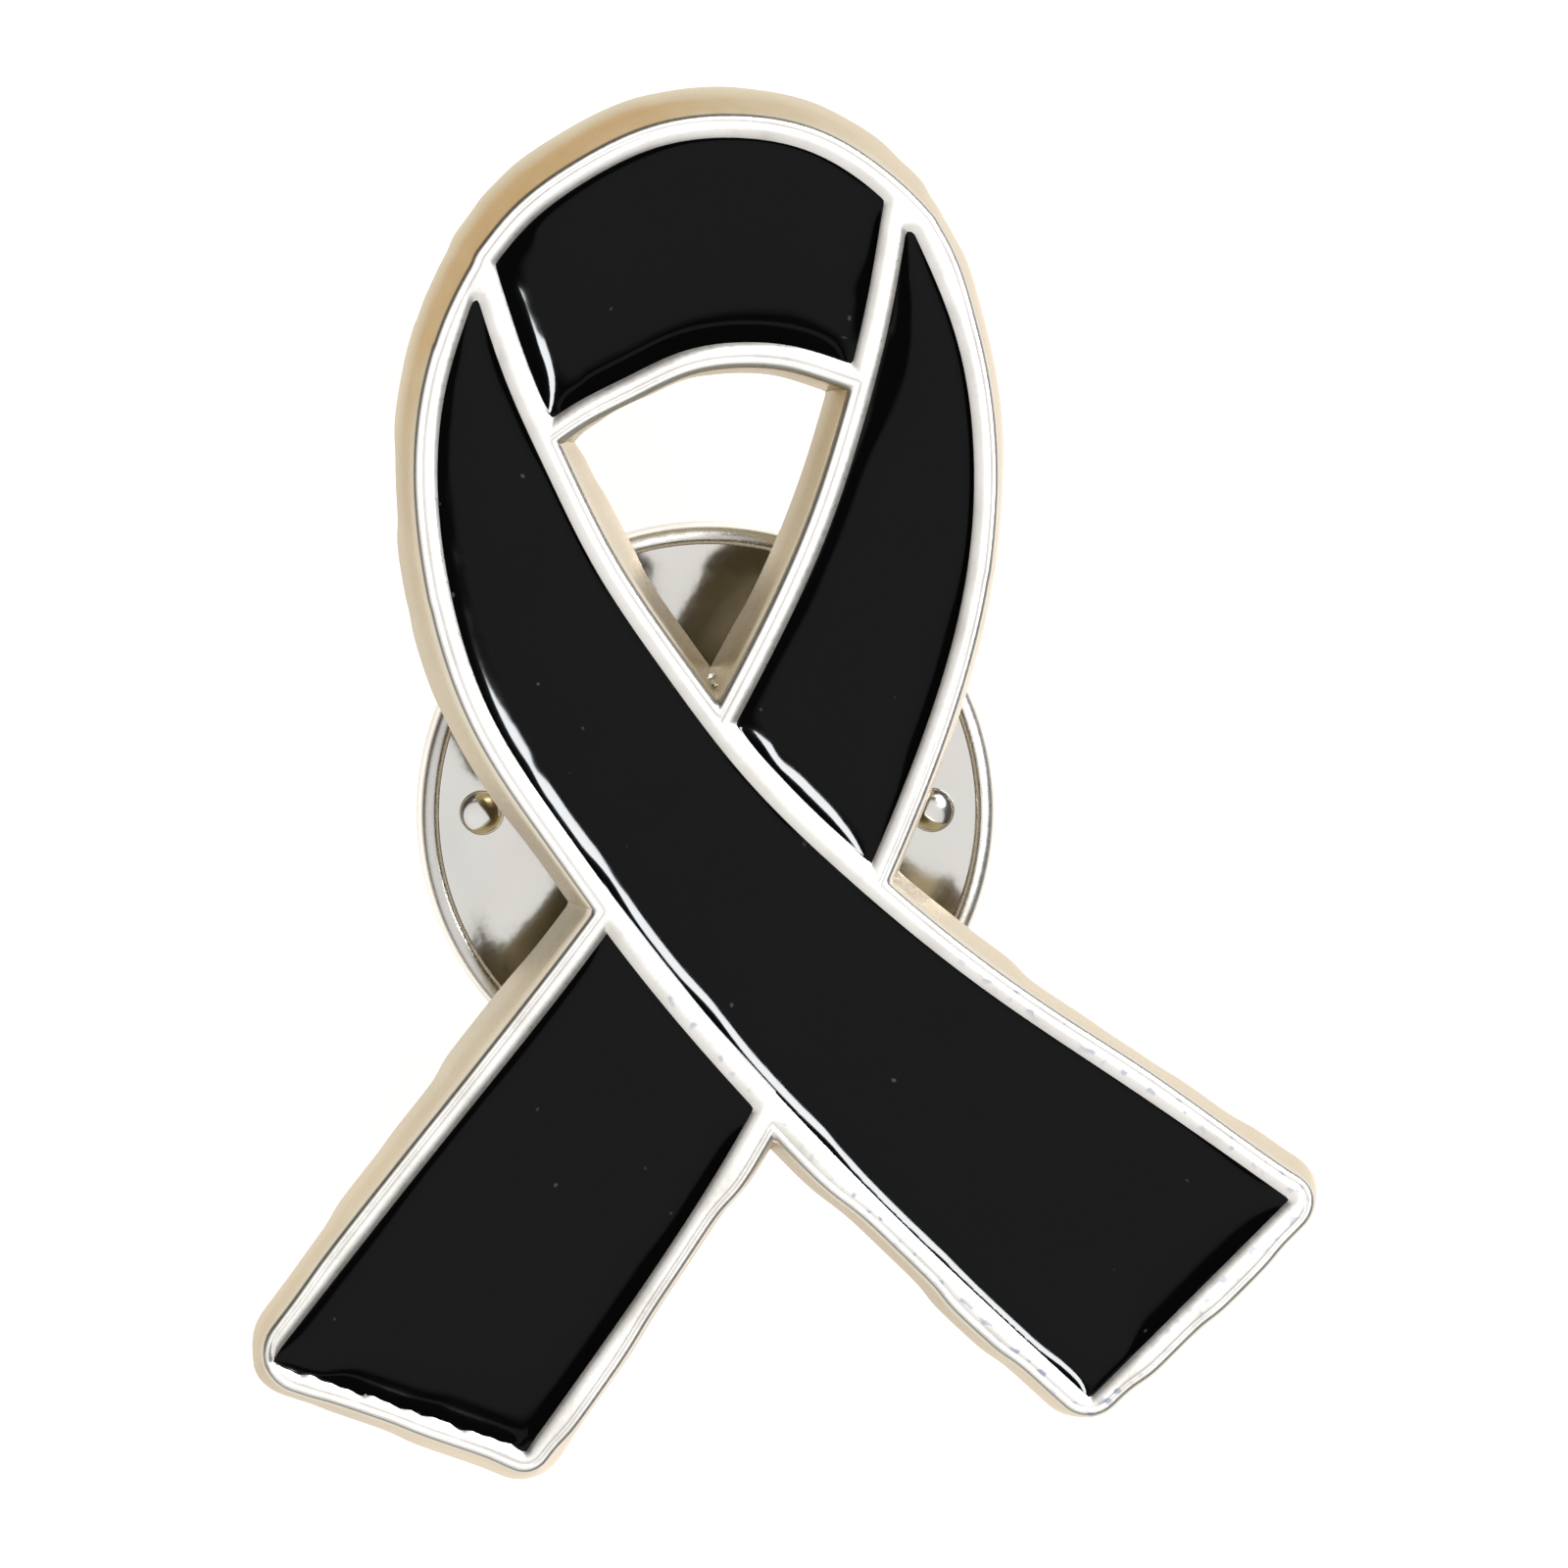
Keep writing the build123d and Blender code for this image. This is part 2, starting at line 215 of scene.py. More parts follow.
# Lights: name, degrees around from +X, degrees off the zenith, distance, width, height, watts, tint
LIGHTS = [
    ("upper_right_softbox", 38, 30, 0.6, 0.11, 0.27, 7.0, (0.94, 0.97, 1.0)),
    ("upper_card", 85, 29, 0.6, 0.5, 0.06, 0.06, (1.0, 1.0, 1.0)),
]
# The soft overhead light: its direction, and its brightness from its edge, 0, inwards, 1
OVERHEAD = Vector((-0.21, -0.366, 0.906))
OVERHEAD_GLOW = [(0.0, 0.0), (0.72, 0.0), (0.80, 0.72), (1.0, 0.86)]
# Brightness of the surroundings from straight down to straight up
SKY = [(0.0, 0.9), (0.5, 0.95), (0.58, 0.7), (0.65, 0.08), (1.0, 0.08)]
OVERHEAD_TINT = (0.96, 0.98, 1.0, 1.0)
WARM_SIDE = (1.0, 0.925, 0.80)
COOL_SIDE = (0.98, 0.96, 0.94)

# Metal tones: the sides' painted reflection of warm surroundings, what is seen at a glancing angle,
# pits, the back's painted shade
SIDE_REFLECTION_TONES = [
    (0.2, (0.60, 0.585, 0.54)), (0.5, (0.55, 0.53, 0.465)), (0.8, (0.42, 0.37, 0.275)),
    (0.87, (0.40, 0.31, 0.20)), (1.0, (0.36, 0.26, 0.14)),
]
EDGE_TINT = (0.75, 0.66, 0.54)
PIT_COLOUR = (0.30, 0.34, 0.46)
# The back's colour is painted shade: a dark olive, so that the clutch's plate mirrors a shaded back
BACK_SHADE_COLOUR = (0.30, 0.25, 0.14)
SPECK_COLOUR = (0.6, 0.6, 0.65)

# The sides' painted reflection, a warm tone that stands in for warm surroundings mirrored in them:
# the side that it faces, its least share, how it grows towards that side and downwards in the
# picture, how wide its start below the rims is, its share low on the pin, and the height above the
# post over which the rest comes in
REFLECTION_FACING = (-0.75, 0.66)
REFLECTION_LEAST = 0.2
REFLECTION_SHARES = (0.45, 0.55, 0.35)
REFLECTION_START = 0.05 * MM
REFLECTION_LOW = 0.62
REFLECTION_CLIMB = 8 * MM
# Height up the walls over which the painted reflection grows to its full share: it is weaker at
# their foot, a painted lighter band
WALL_REFLECTION_HEIGHT = 0.9 * MM
# Pits: how far from the over strand's enamel, how wide their band, below what height in the picture
PIT_PLACE = 0.26 * MM
PIT_BAND = 0.12 * MM
PIT_TOP = -2 * MM
CREST_SHARE = 0.8

# Platings: whose colour, times what, duller patches, least and most roughness, waves, painted
# reflection tones, edge tint
Plating = namedtuple("Plating", "colour share dull shine wave brass edge")
PLATINGS = {
    "ribbon_plating": Plating(
        "ribbon_metal", 1.0, (0.74, 0.70, 0.64), (0.24, 0.34), 0.004 * MM, SIDE_REFLECTION_TONES, EDGE_TINT
    ),
    # The shell and wings: the clutch's colour times 0.9 with darker dull patches, painted shade
    # that dims them against the bright floor; the plate keeps the full colour and lighter patches
    "clutch_plating": Plating(
        "clutch_metal", 0.9, (0.68, 0.64, 0.59), (0.22, 0.34), 0.004 * MM, None, (1, 1, 1)
    ),
    "clutch_face_plating": Plating(
        "clutch_metal", 1.0, (0.84, 0.78, 0.73), (0.07, 0.15), 0.003 * MM, None, (1, 1, 1)
    ),
}
# How fine the noise of the materials is, in 1/m
PATCHES, WAVES, PITS, GRAIN = 900.0, 1800.0, 5000.0, 9000.0
CLOUDS, PEEL, SPECKS, GLOSS = 700.0, 1500.0, 3400.0, 5000.0
ENAMEL_IOR = 1.25
PEEL_HEIGHT = 0.002 * MM
FLOOR_GLOW = ((1.0, 0.97, 0.93, 1), 0.97)


def length(name, description, default):
    """A length that a user can change, with its default in mm."""
    return FloatProperty(
        name=name, description=description, default=default * MM, subtype="DISTANCE", unit="LENGTH"
    )


def lean(name, description, default):
    """An angle that a user can change, with its default in degrees."""
    default = math.radians(default)
    return FloatProperty(name=name, description=description, default=default, subtype="ANGLE")


def rounds(name, *default):
    """How round a tail is at its two corners, with its default in mm."""
    return FloatVectorProperty(
        name=name, description="How round the metal is at the tail's two corners",
        default=[radius * MM for radius in default], size=2, subtype="XYZ_LENGTH", unit="LENGTH",
    )


def colour(name, description, default):
    """A colour that a user can change."""
    return FloatVectorProperty(
        name=name, description=description, default=default, subtype="COLOR", size=3, min=0, max=1
    )


class RibbonSizes(bpy.types.PropertyGroup):
    """Sizes of the metal ribbon and of its enamel."""

    field_width: length("Field width", "Box that holds all the enamel, across", 20.3)
    field_height: length("Field height", "Box that holds all the enamel, up", 26.05)
    post_across: FloatProperty(name="Post across", description="Share of the width", default=0.446)
    post_up: FloatProperty(name="Post up", description="Share of the height", default=0.468)
    thickness: length("Thickness", "From the back to the crest of the rims", 1.8)
    rib: length("Rib", "Width of the rib where one strand passes over another", 0.52)
    inner_round: length("Inner round", "Width of the rim's rounding on the enamel's side", 0.25)
    inner_radius: length("Inner radius", "Radius of that rounding", 0.5)
    outer_round: length("Outer round", "Width of the rim's rounding on the outside", 0.16)
    outer_radius: length("Outer radius", "Radius of that rounding", 0.17)
    over_rounds: rounds("Over strand's tail", 0.25, 0.15)
    under_rounds: rounds("Under strand's tail", 0.43, 0.1)
    seam: length("Seam", "Depth of the faint groove along the rims", 0.017)
    enamel_dish: length("Enamel dish", "How far the flat of the enamel lies below the crest", 0.36)
    enamel_floor: length("Enamel floor", "Height of the hollows' floor over the back", 1.0)
    gap: length("Gap", "Gap between the enamel and the floor of its hollow", 0.02)


class PostSizes(bpy.types.PropertyGroup):
    """Sizes of the post on the ribbon's back."""

    length: length("Length", "From the ribbon's back to the tip", 8.0)
    radius: length("Radius", "Radius of the shaft", 0.55)
    point: length("Point", "Length of the point", 1.2)
    tip_radius: length("Tip radius", "Radius of the blunted tip", 0.08)
    groove_radius: length("Groove radius", "Radius at the bottom of the groove", 0.42)
    groove: length("Groove", "Length of the groove", 0.7)
    groove_depth: length("Groove depth", "From the ribbon's back to the groove's middle", 5.05)
    solder_radius: length("Solder radius", "Radius of the solder at the ribbon", 1.1)
    solder: length("Solder", "Height of the solder", 0.35)


class ClutchSizes(bpy.types.PropertyGroup):
    """Sizes of the squeeze clutch. Depths are counted back from the front of its lip."""

    cloth_gap: length("Cloth gap", "From the ribbon's back to the front of the lip", 3.6)
    disc_radius: length("Disc radius", "Outer radius of the clutch", 5.85)
    sheet: length("Sheet", "Thickness of the shell's sheet", 0.28)
    lip: length("Lip", "Width of the rolled lip", 0.43)
    plate: length("Plate", "Thickness of the plate", 0.35)
    seam: length("Seam", "Clearance around the plate", 0.02)
    hole_radius: length("Hole radius", "Radius of the plate's hole", 0.67)
    dome_radius: length("Dome radius", "Outer radius of the dome", 2.9)
    dome_depth: length("Dome depth", "Depth of the dome's end", 5.3)
    dome_round: length("Dome round", "Radius of the dome's outer edge", 0.8)
    nub_reach: length("Nub reach", "From the post to each grip nub", 4.55)
    nub_radius: length("Nub radius", "Radius of a grip nub at its foot", 0.45)
    nub_height: length("Nub height", "How far a grip nub stands up", 0.15)
    dents: length("Dents", "Depth of the plate's waviness", 0.06)
    window_width: length("Window width", "Width of the dome's side windows", 4.0)


class WingSizes(bpy.types.PropertyGroup):
    """Sizes of the two squeeze wings."""

    sheet: length("Sheet", "Thickness of a wing", 0.4)
    jaw_depth: length("Jaw depth", "Depth of the jaw's sheet behind the clutch's lip", 1.45)
    jaw_start: length("Jaw start", "From the post's axis to a jaw's end", 0.15)
    jaw_radius: length("Jaw radius", "Radius of the jaw's notch", 0.6)
    neck: length("Neck", "Width inside the dome", 3.4)
    flare: length("Flare", "Width at the tip", 6.0)
    corner: length("Corner", "Radius of the tip's corners", 0.7)
    elbow: length("Elbow", "From the post's axis to the bend", 3.6)
    elbow_radius: length("Elbow radius", "Radius of the bend", 0.8)
    tip: length("Tip", "From the post's axis to the tip", 4.7)
    tip_depth: length("Tip depth", "Depth of the tip's middle behind the clutch's lip", 5.73)


class Finishes(bpy.types.PropertyGroup):
    """Colours of the metal, the enamel and the floor."""

    ribbon_metal: colour("Ribbon metal", "Plating of the ribbon", (0.92, 0.88, 0.83))
    clutch_metal: colour("Clutch metal", "Plating of the clutch", (0.82, 0.79, 0.74))
    enamel: colour("Enamel", "Black enamel", (0.0005, 0.0005, 0.0006))
    floor: colour("Floor", "Plain pale floor", (0.27, 0.26, 0.25))


class StageSizes(bpy.types.PropertyGroup):
    """Camera, lights and floor."""

    distance: length("Distance", "From the camera to the ribbon's face", 300)
    field: length("Field", "Width of the view at the ribbon's face", 31.03)
    centre_across: length("Centre across", "Middle of the view, from the post to the right", 1.164)
    centre_up: length("Centre up", "Middle of the view, from the post up", 1.067)
    lean_left: lean("Lean left", "Camera's lean to the left", 3.9)
    lean_up: lean("Lean up", "Camera's lean to the top", 5.2)
    floor: length("Floor", "Side of the floor", 6000)


def lengths_along(path):
    """How far along a path each of its points is."""
    return np.concatenate(([0.0], np.cumsum(np.linalg.norm(np.diff(path, axis=0), axis=1))))


def smooth_line(points, spacing):
    """Points along a natural cubic spline through the given points."""
    points = np.array(points)
    steps = np.linalg.norm(np.diff(points, axis=0), axis=1)
    knots = lengths_along(points)
    count = len(points)
    matrix = np.zeros((count, count))
    bend = np.zeros((count, 2))
    matrix[0, 0] = matrix[-1, -1] = 1
    for i in range(1, count - 1):
        before, after = steps[i - 1], steps[i]
        matrix[i, i - 1:i + 2] = before, 2 * (before + after), after
        bend[i] = 6 * ((points[i + 1] - points[i]) / after - (points[i] - points[i - 1]) / before)
    bend = np.linalg.solve(matrix, bend)
    places = np.linspace(0, knots[-1], int(knots[-1] / spacing) + 2)
    i = np.clip(np.searchsorted(knots, places, side="right") - 1, 0, count - 2)
    span = steps[i][:, None]
    ahead = (knots[i + 1] - places)[:, None]
    behind = (places - knots[i])[:, None]
    return (
        (bend[i] * ahead ** 3 + bend[i + 1] * behind ** 3) / (6 * span)
        + (points[i] / span - bend[i] * span / 6) * ahead
        + (points[i + 1] / span - bend[i + 1] * span / 6) * behind
    )


def in_chunks(work, points):
    """What a function says about each point, worked out for a few thousand points at a time."""
    parts = [points[first:first + CHUNK] for first in range(0, max(len(points), 1), CHUNK)]
    return np.concatenate([work(part) for part in parts])


def distance_to(path, points):
    """Distance from each point to a path of straight steps."""
    start, step = path[:-1], np.diff(path, axis=0)
    square = np.maximum((step ** 2).sum(1), TINY ** 2)

    def nearest(some):
        away = some[:, None, :] - start[None]
        along = np.clip((away * step[None]).sum(2) / square[None], 0, 1)
        away -= along[:, :, None] * step[None]
        return np.sqrt((away ** 2).sum(2).min(1))

    return in_chunks(nearest, points)


def inside(outline, points):
    """Whether each point lies inside a closed outline."""
    start, end = outline, np.roll(outline, -1, axis=0)
    rise = end[:, 1] - start[:, 1]
    rise = np.where(rise == 0, TINY, rise)

    def crossed(some):
        x, y = some[:, :1], some[:, 1:]
        spans = (start[None, :, 1] > y) != (end[None, :, 1] > y)
        crossing = start[:, 0] + (y - start[:, 1]) * (end[:, 0] - start[:, 0]) / rise
        return (spans & (x < crossing)).sum(1) % 2 == 1

    return in_chunks(crossed, points)


def corner_arc(before, corner, after, radius, steps):
    """The arc that rounds a corner between two places, and how much it takes off each side."""
    back, onward = ((place - corner) / np.linalg.norm(place - corner) for place in (before, after))
    half = math.acos(back @ onward) / 2
    middle = (back + onward) / np.linalg.norm(back + onward) * radius / math.sin(half)
    start, end = (side * radius / math.tan(half) - middle for side in (back, onward))
    sweep = math.pi - 2 * half
    shares = np.linspace(0, 1, steps + 1)[:, None]
    arc = start * np.sin((1 - shares) * sweep) + end * np.sin(shares * sweep)
    return corner + middle + arc / math.sin(sweep), radius / math.tan(half)


def cut_corner(edge, onward, radius):
    """An edge whose last corner, towards a point, is rounded."""
    arc, taken = corner_arc(edge[-3], edge[-1], onward, radius, 8)
    return np.concatenate((edge[np.linalg.norm(edge - edge[-1], axis=1) > taken], arc))


class Strand:
    """One strand of the ribbon: its two long edges and its ends."""

    def __init__(self, sections, sizes, tail_rounds=None):
        def edge(across, up):
            return smooth_line([
                (
                    sizes.field_width * (getattr(section, across) - sizes.post_across),
                    sizes.field_height * (getattr(section, up) - sizes.post_up),
                )
                for section in sections
            ], EDGE_STEP)

        self.left, self.right = edge("left_across", "left_up"), edge("right_across", "right_up")
        self.tail = np.array([self.left[-1], self.right[-1]])
        self.outline = np.concatenate((self.left, self.right[::-1]))
        self.left_line, self.right_line = map(self.lengthened, (self.left, self.right))
        self.metal = self.outline
        if tail_rounds:
            left = cut_corner(self.left, self.right[-1], tail_rounds[0])
            right = cut_corner(self.right, self.left[-1], tail_rounds[1])
            self.metal = np.concatenate((left, right[::-1]))

    def lengthened(self, edge):
        """An edge that runs on straight past the strand's head."""
        ahead = edge[0] - edge[2]
        return np.concatenate(([edge[0] + ahead / np.linalg.norm(ahead) * RUN_ON], edge))

    def signed(self, points, outline=None):
        """Distance to the strand's outline, negative inside."""
        outline = self.outline if outline is None else outline
        away = distance_to(np.concatenate((outline, outline[:1])), points)
        return np.where(inside(outline, points), -away, away)


def blended(spots, points, value="width"):
    """A width in metres, or another value, at each point, blended from those given at places."""
    total = np.zeros(len(points))
    weights = np.zeros(len(points))
    for spot in spots:
        square = ((points - np.array((spot.x, spot.y)) * MM) ** 2).sum(1)
        weight = 1 / (square + SPOT_REACH ** 2) ** 2
        total += weight * getattr(spot, value)
        weights += weight
    return total / weights * (MM if value == "width" else 1)


def soft_least(one, two, reach):
    """The lesser of two distances, rounded where they differ by less than a reach."""
    near = np.maximum(reach - np.abs(one - two), 0)
    return np.minimum(one, two) - near ** 2 / (4 * reach)


class Ribbon:
    """The ribbon's shape as distances: to the enamel's edges and to the metal's outline."""

    def __init__(self, sizes):
        self.sizes = sizes
        self.over = Strand(OVER_SECTIONS, sizes, sizes.over_rounds)
        self.under = Strand(UNDER_SECTIONS, sizes, sizes.under_rounds)
        self.top = Strand(TOP_SECTIONS, sizes)
        self.loop = Strand(LOOP_SECTIONS, sizes)

    def distances(self, points):
        """Distances to the enamel's edge and the rims' outline, both negative inside, and how far
        down the outer wall each point is, as a share."""
        over, under, top = (strand.signed(points) for strand in (self.over, self.under, self.top))
        rib = self.sizes.rib
        in_under = np.maximum(under, rib - over)
        top_ribs = rib - self.to_top_ribs(points)
        in_top = np.maximum(np.maximum(top, top_ribs), np.maximum(-over, -under))
        enamel = np.minimum(over, np.minimum(in_under, in_top)) + self.raggedness(points)
        metal = top
        for strand, head in ((self.over, OVER_HEAD), (self.under, UNDER_HEAD)):
            within = np.maximum(strand.signed(points, strand.metal), points[:, 1] - head)
            metal = np.minimum(metal, within)
        outline = soft_least(metal, self.loop.signed(points), FOLD_ROUND)
        outline -= blended(RIM_WIDTHS, points)
        wall = np.maximum(outline, 0) / blended(WALL_RUNS, points)
        return enamel, outline, wall

    def raggedness(self, points):
        """How uneven the edge of the enamel is, at the end of the under strand's tail."""
        left, right = self.under.tail
        along = (right - left) / np.linalg.norm(right - left)
        share = (points - left) @ along
        near = np.exp(-(distance_to(self.under.tail, points) / RAGGED_REACH) ** 2)
        waves = sum(np.sin(share / step + start) for step, start in RAGGED_WAVES)
        return RAGGED_DEPTH * waves * near

    def to_top_ribs(self, points):
        """Distance to the nearer of the two edges that close the top's field."""
        edges = (self.over.right_line, self.under.left_line)
        return np.minimum(*(distance_to(edge, points) for edge in edges))


def odd_inside(loops, points):
    """Whether each point lies inside an odd number of closed loops."""
    result = np.zeros(len(points), bool)
    for loop in loops:
        result ^= inside(loop, points)
    return result


def even_steps(path, spacing):
    """Points at even steps along an open path, both ends kept."""
    along = lengths_along(path)
    places = np.linspace(0, along[-1], max(2, int(round(along[-1] / spacing)) + 1))
    return np.stack([np.interp(places, along, path[:, axis]) for axis in (0, 1)], 1)


def tidy_loop(loop):
    """A closed line with even steps that keeps its sharp corners."""
    fine = even_steps(np.concatenate((loop, loop[:1])), FINE_STEP)[:-1]
    ahead = np.roll(fine, -CORNER_REACH, 0) - fine
    behind = fine - np.roll(fine, CORNER_REACH, 0)
    crossed = ahead[:, 1] * behind[:, 0] - ahead[:, 0] * behind[:, 1]
    turn = np.abs(np.arctan2(crossed, (ahead * behind).sum(1)))
    peak = turn.copy()
    for shift in range(1, CORNER_REACH + 1):
        peak = np.maximum(peak, np.maximum(np.roll(turn, shift), np.roll(turn, -shift)))
    corners = np.flatnonzero((turn == peak) & (turn > CORNER_TURN))
    if len(corners) == 0:
        return even_steps(np.concatenate((fine, fine[:1])), RING_STEP)[:-1]
    fine = np.roll(fine, -corners[0], 0)
    corners = np.append(corners - corners[0], len(fine))
    closed = np.concatenate((fine, fine[:1]))
    parts = [
        even_steps(closed[start:end + 1], RING_STEP)[:-1]
        for start, end in zip(corners, corners[1:]) if end > start
    ]
    return np.concatenate(parts)


class Contours:
    """The ribbon's distances on an even grid, and the lines where they take a value."""

    def __init__(self, ribbon):
        sizes = ribbon.sizes
        margin = GRID_MARGIN + 4 * GRID_STEP
        low_x = -sizes.field_width * sizes.post_across - margin
        low_y = -sizes.field_height * sizes.post_up - margin
        across = np.arange(low_x, low_x + sizes.field_width + 2 * margin, GRID_STEP)
        up = np.arange(low_y, low_y + sizes.field_height + 2 * margin, GRID_STEP)
        self.points = np.stack(np.meshgrid(across, up), -1).reshape(-1, 2)
        self.enamel, self.outline, self.wall = ribbon.distances(self.points)
        number = np.arange(len(self.points)).reshape(len(up), len(across))
        squares = (number[:-1, :-1], number[:-1, 1:], number[1:, 1:], number[1:, :-1])
        a, b, c, d = (corner.ravel() for corner in squares)
        self.triangles = np.concatenate((np.stack((a, b, c), 1), np.stack((a, c, d), 1)))

    def lines(self, field, levels):
        """Closed lines at levels of one of the distances."""
        return [loop for level in levels for loop in self.lines_at(field - level)]

    def lines_at(self, values):
        """Closed lines where values on the grid are zero."""
        values[values == 0] = TINY
        above = values[self.triangles] > 0
        links = {}
        for odd in range(3):
            one, two, three = (odd + turn for turn in (0, -1, -2))
            hit = (above[:, one] != above[:, two]) & (above[:, one] != above[:, three])
            for tip, left, right in self.triangles[hit][:, [one, two, three]].tolist():
                start = (min(tip, left), max(tip, left))
                end = (min(tip, right), max(tip, right))
                links.setdefault(start, []).append(end)
                links.setdefault(end, []).append(start)
        loops = []
        while links:
            edge = next(iter(links))
            loop = []
            while edge in links:
                loop.append(edge)
                following = links.pop(edge)
                edge = following[0] if following[0] in links else following[-1]
            start, end = np.array(loop).T
            share = (values[start] / (values[start] - values[end]))[:, None]
            line = self.points[start] * (1 - share) + self.points[end] * share
            if np.linalg.norm(np.diff(line, axis=0), axis=1).sum() > SHORTEST_LOOP:
                loops.append(tidy_loop(line))
        return loops


def filled(borders, lines=()):
    """Triangles that fill the space inside closed borders, with more lines as their edges."""
    coordinates = []
    edges = []
    for loop in list(borders) + list(lines):
        first, count = len(coordinates), len(loop)
        coordinates += [Vector(point / MM) for point in loop]
        edges += [(first + i, first + (i + 1) % count) for i in range(count)]
    found, _, faces, _, _, _ = delaunay_2d_cdt(coordinates, edges, [], 0, 1e-6)
    points = np.array([tuple(point) for point in found]) * MM
    triangles = np.array(faces)
    one, two, three = (points[triangles[:, corner]] for corner in range(3))
    side, other = two - one, three - one
    area = np.abs(side[:, 0] * other[:, 1] - side[:, 1] * other[:, 0]) / 2
    return points, triangles[(area > LEAST_AREA) & odd_inside(borders, (one + two + three) / 3)]


def add_layer(mesh, points, heights, faces):
    """Adds points at heights, and the faces between them, to a bmesh."""
    heights = np.broadcast_to(heights, len(points))
    corners = [mesh.verts.new((x, y, z)) for (x, y), z in zip(points, heights)]
    for face in faces:
        mesh.faces.new([corners[i] for i in face])


def add_flat(mesh, loops, height):
    """Adds a flat fill inside closed loops."""
    points, faces = filled(loops)
    add_layer(mesh, points, height, faces)


def add_wall(mesh, loop, top, bottom):
    """Adds a wall along a closed loop between two heights."""
    count = len(loop)
    points = np.concatenate((loop, loop))
    heights = np.concatenate((np.broadcast_to(top, count), np.broadcast_to(bottom, count)))
    faces = [(i, (i + 1) % count, count + (i + 1) % count, count + i) for i in range(count)]
    add_layer(mesh, points, heights, faces)


def new_object(name, data):
    """A new object in the scene."""
    made = bpy.data.objects.new(name, data)
    bpy.context.scene.collection.objects.link(made)
    return made


def finish_mesh(mesh, name, material):
    """Turns a bmesh of closed shells into a smooth object with sharp edges."""
    bmesh.ops.remove_doubles(mesh, verts=mesh.verts, dist=MERGE)
    loose = [vertex for vertex in mesh.verts if not vertex.link_faces]
    bmesh.ops.delete(mesh, geom=loose, context="VERTS")
    bmesh.ops.recalc_face_normals(mesh, faces=mesh.faces)
    data = bpy.data.meshes.new(name)
    mesh.to_mesh(data)
    mesh.free()
    data.polygons.foreach_set("use_smooth", [True] * len(data.polygons))
    data.set_sharp_from_angle(angle=SHARP)
    data.materials.append(material)
    return new_object(name, data)


def add_values(data, name, domain, values):
    """Stores a number for each point or face of a mesh, for its material."""
    data.attributes.new(name, "FLOAT", domain).data.foreach_set("value", values.astype(np.float32))


def stored(items, name, width=1, kind=float):
    """What a mesh stores about each of its points, corners or faces."""
    values = np.empty(len(items) * width, kind)
    items.foreach_get(name, values)
    return values.reshape(-1, width) if width > 1 else values


def add_lathe(mesh, profile, angles, skip=()):
    """Adds a profile of (radius, height) turned about the Z axis. Skipped steps are left open.

    A profile that starts and ends on the axis is closed there, any other one joins its ends.
    """
    rings = []
    for radius, height in profile:
        if radius < TINY:
            rings.append([mesh.verts.new((0, 0, height))] * len(angles))
        else:
            turned = [(radius * math.cos(a), radius * math.sin(a), height) for a in angles]
            rings.append([mesh.verts.new(place) for place in turned])
    pairs = list(zip(range(len(rings)), range(1, len(rings))))
    if profile[0][0] > TINY:
        pairs.append((len(rings) - 1, 0))
    for one, two in pairs:
        for step in range(len(angles)):
            if (one, step) in skip:
                continue
            after = (step + 1) % len(angles)
            corners = [rings[one][step], rings[one][after], rings[two][after], rings[two][step]]
            mesh.faces.new(list(dict.fromkeys(corners)))
    return rings


def rounded(corners, steps=6):
    """A line through corners of (x, y, radius), each rounded by its radius."""
    places = np.array(corners)[:, :2]
    line = []
    for i, (x, y, radius) in enumerate(corners):
        if radius == 0 or i in (0, len(corners) - 1):
            line.append((x, y))
        else:
            line += map(tuple, corner_arc(*places[i - 1:i + 2], radius, steps)[0])
    return line


def even_angles(count):
    """Angles of an evenly divided turn."""
    return [2 * math.pi * i / count for i in range(count)]


class Nodes:
    """Adds nodes to a tree and links them."""

    def __init__(self, tree):
        self.tree = tree
        tree.nodes.clear()

    def add(self, kind, inputs=None, **values):
        """A node with its own values set, and its inputs set or linked."""
        node = self.tree.nodes.new(kind)
        for name, value in values.items():
            setattr(node, name, value)
        for key, value in (inputs or {}).items():
            if isinstance(value, bpy.types.NodeSocket):
                self.tree.links.new(value, node.inputs[key])
            else:
                node.inputs[key].default_value = value
        return node

    def out(self, kind, inputs=None, output=0, **values):
        """One output of a node that is added in the same way."""
        return self.add(kind, inputs, **values).outputs[output]

    def math(self, operation, *numbers):
        """The result of a sum on numbers or sockets."""
        return self.out("ShaderNodeMath", dict(enumerate(numbers)), operation=operation)

    def place(self):
        """Where on its object a point is."""
        return self.out("ShaderNodeTexCoord", output="Object")

    def stored(self, name):
        """A value that the mesh stores."""
        return self.out("ShaderNodeAttribute", output="Fac", attribute_name=name)

    def noise(self, scale, detail):
        """Noise between 0 and 1, with a scale in 1/m."""
        return self.out(
            "ShaderNodeTexNoise", {"Vector": self.place(), "Scale": scale, "Detail": detail}, "Fac"
        )

    def ramp(self, value, stops):
        """Colours or greys along a value."""
        node = self.add("ShaderNodeValToRGB", {"Fac": value})
        marks = node.color_ramp.elements
        while len(marks) < len(stops):
            marks.new(0.5)
        for mark, (position, shade) in zip(marks, stops):
            mark.position = position
            mark.color = (*shade, 1) if isinstance(shade, tuple) else (shade, shade, shade, 1)
        return node.outputs["Color"]

    def mix(self, share, one, two):
        """A mix of two colours."""
        one, two = ((*shade, 1) if isinstance(shade, tuple) else shade for shade in (one, two))
        return self.out("ShaderNodeMix", {0: share, 6: one, 7: two}, 2, data_type="RGBA")

    def surface(self, inputs, height=None, distance=1.0):
        """Ends a material with a surface that has these inputs, and fine relief."""
        if height is not None:
            relief = {"Height": height, "Strength": 1.0, "Distance": distance}
            inputs["Normal"] = self.out("ShaderNodeBump", relief)
        shader = self.out("ShaderNodeBsdfPrincipled", inputs)
        self.add("ShaderNodeOutputMaterial", {"Surface": shader})


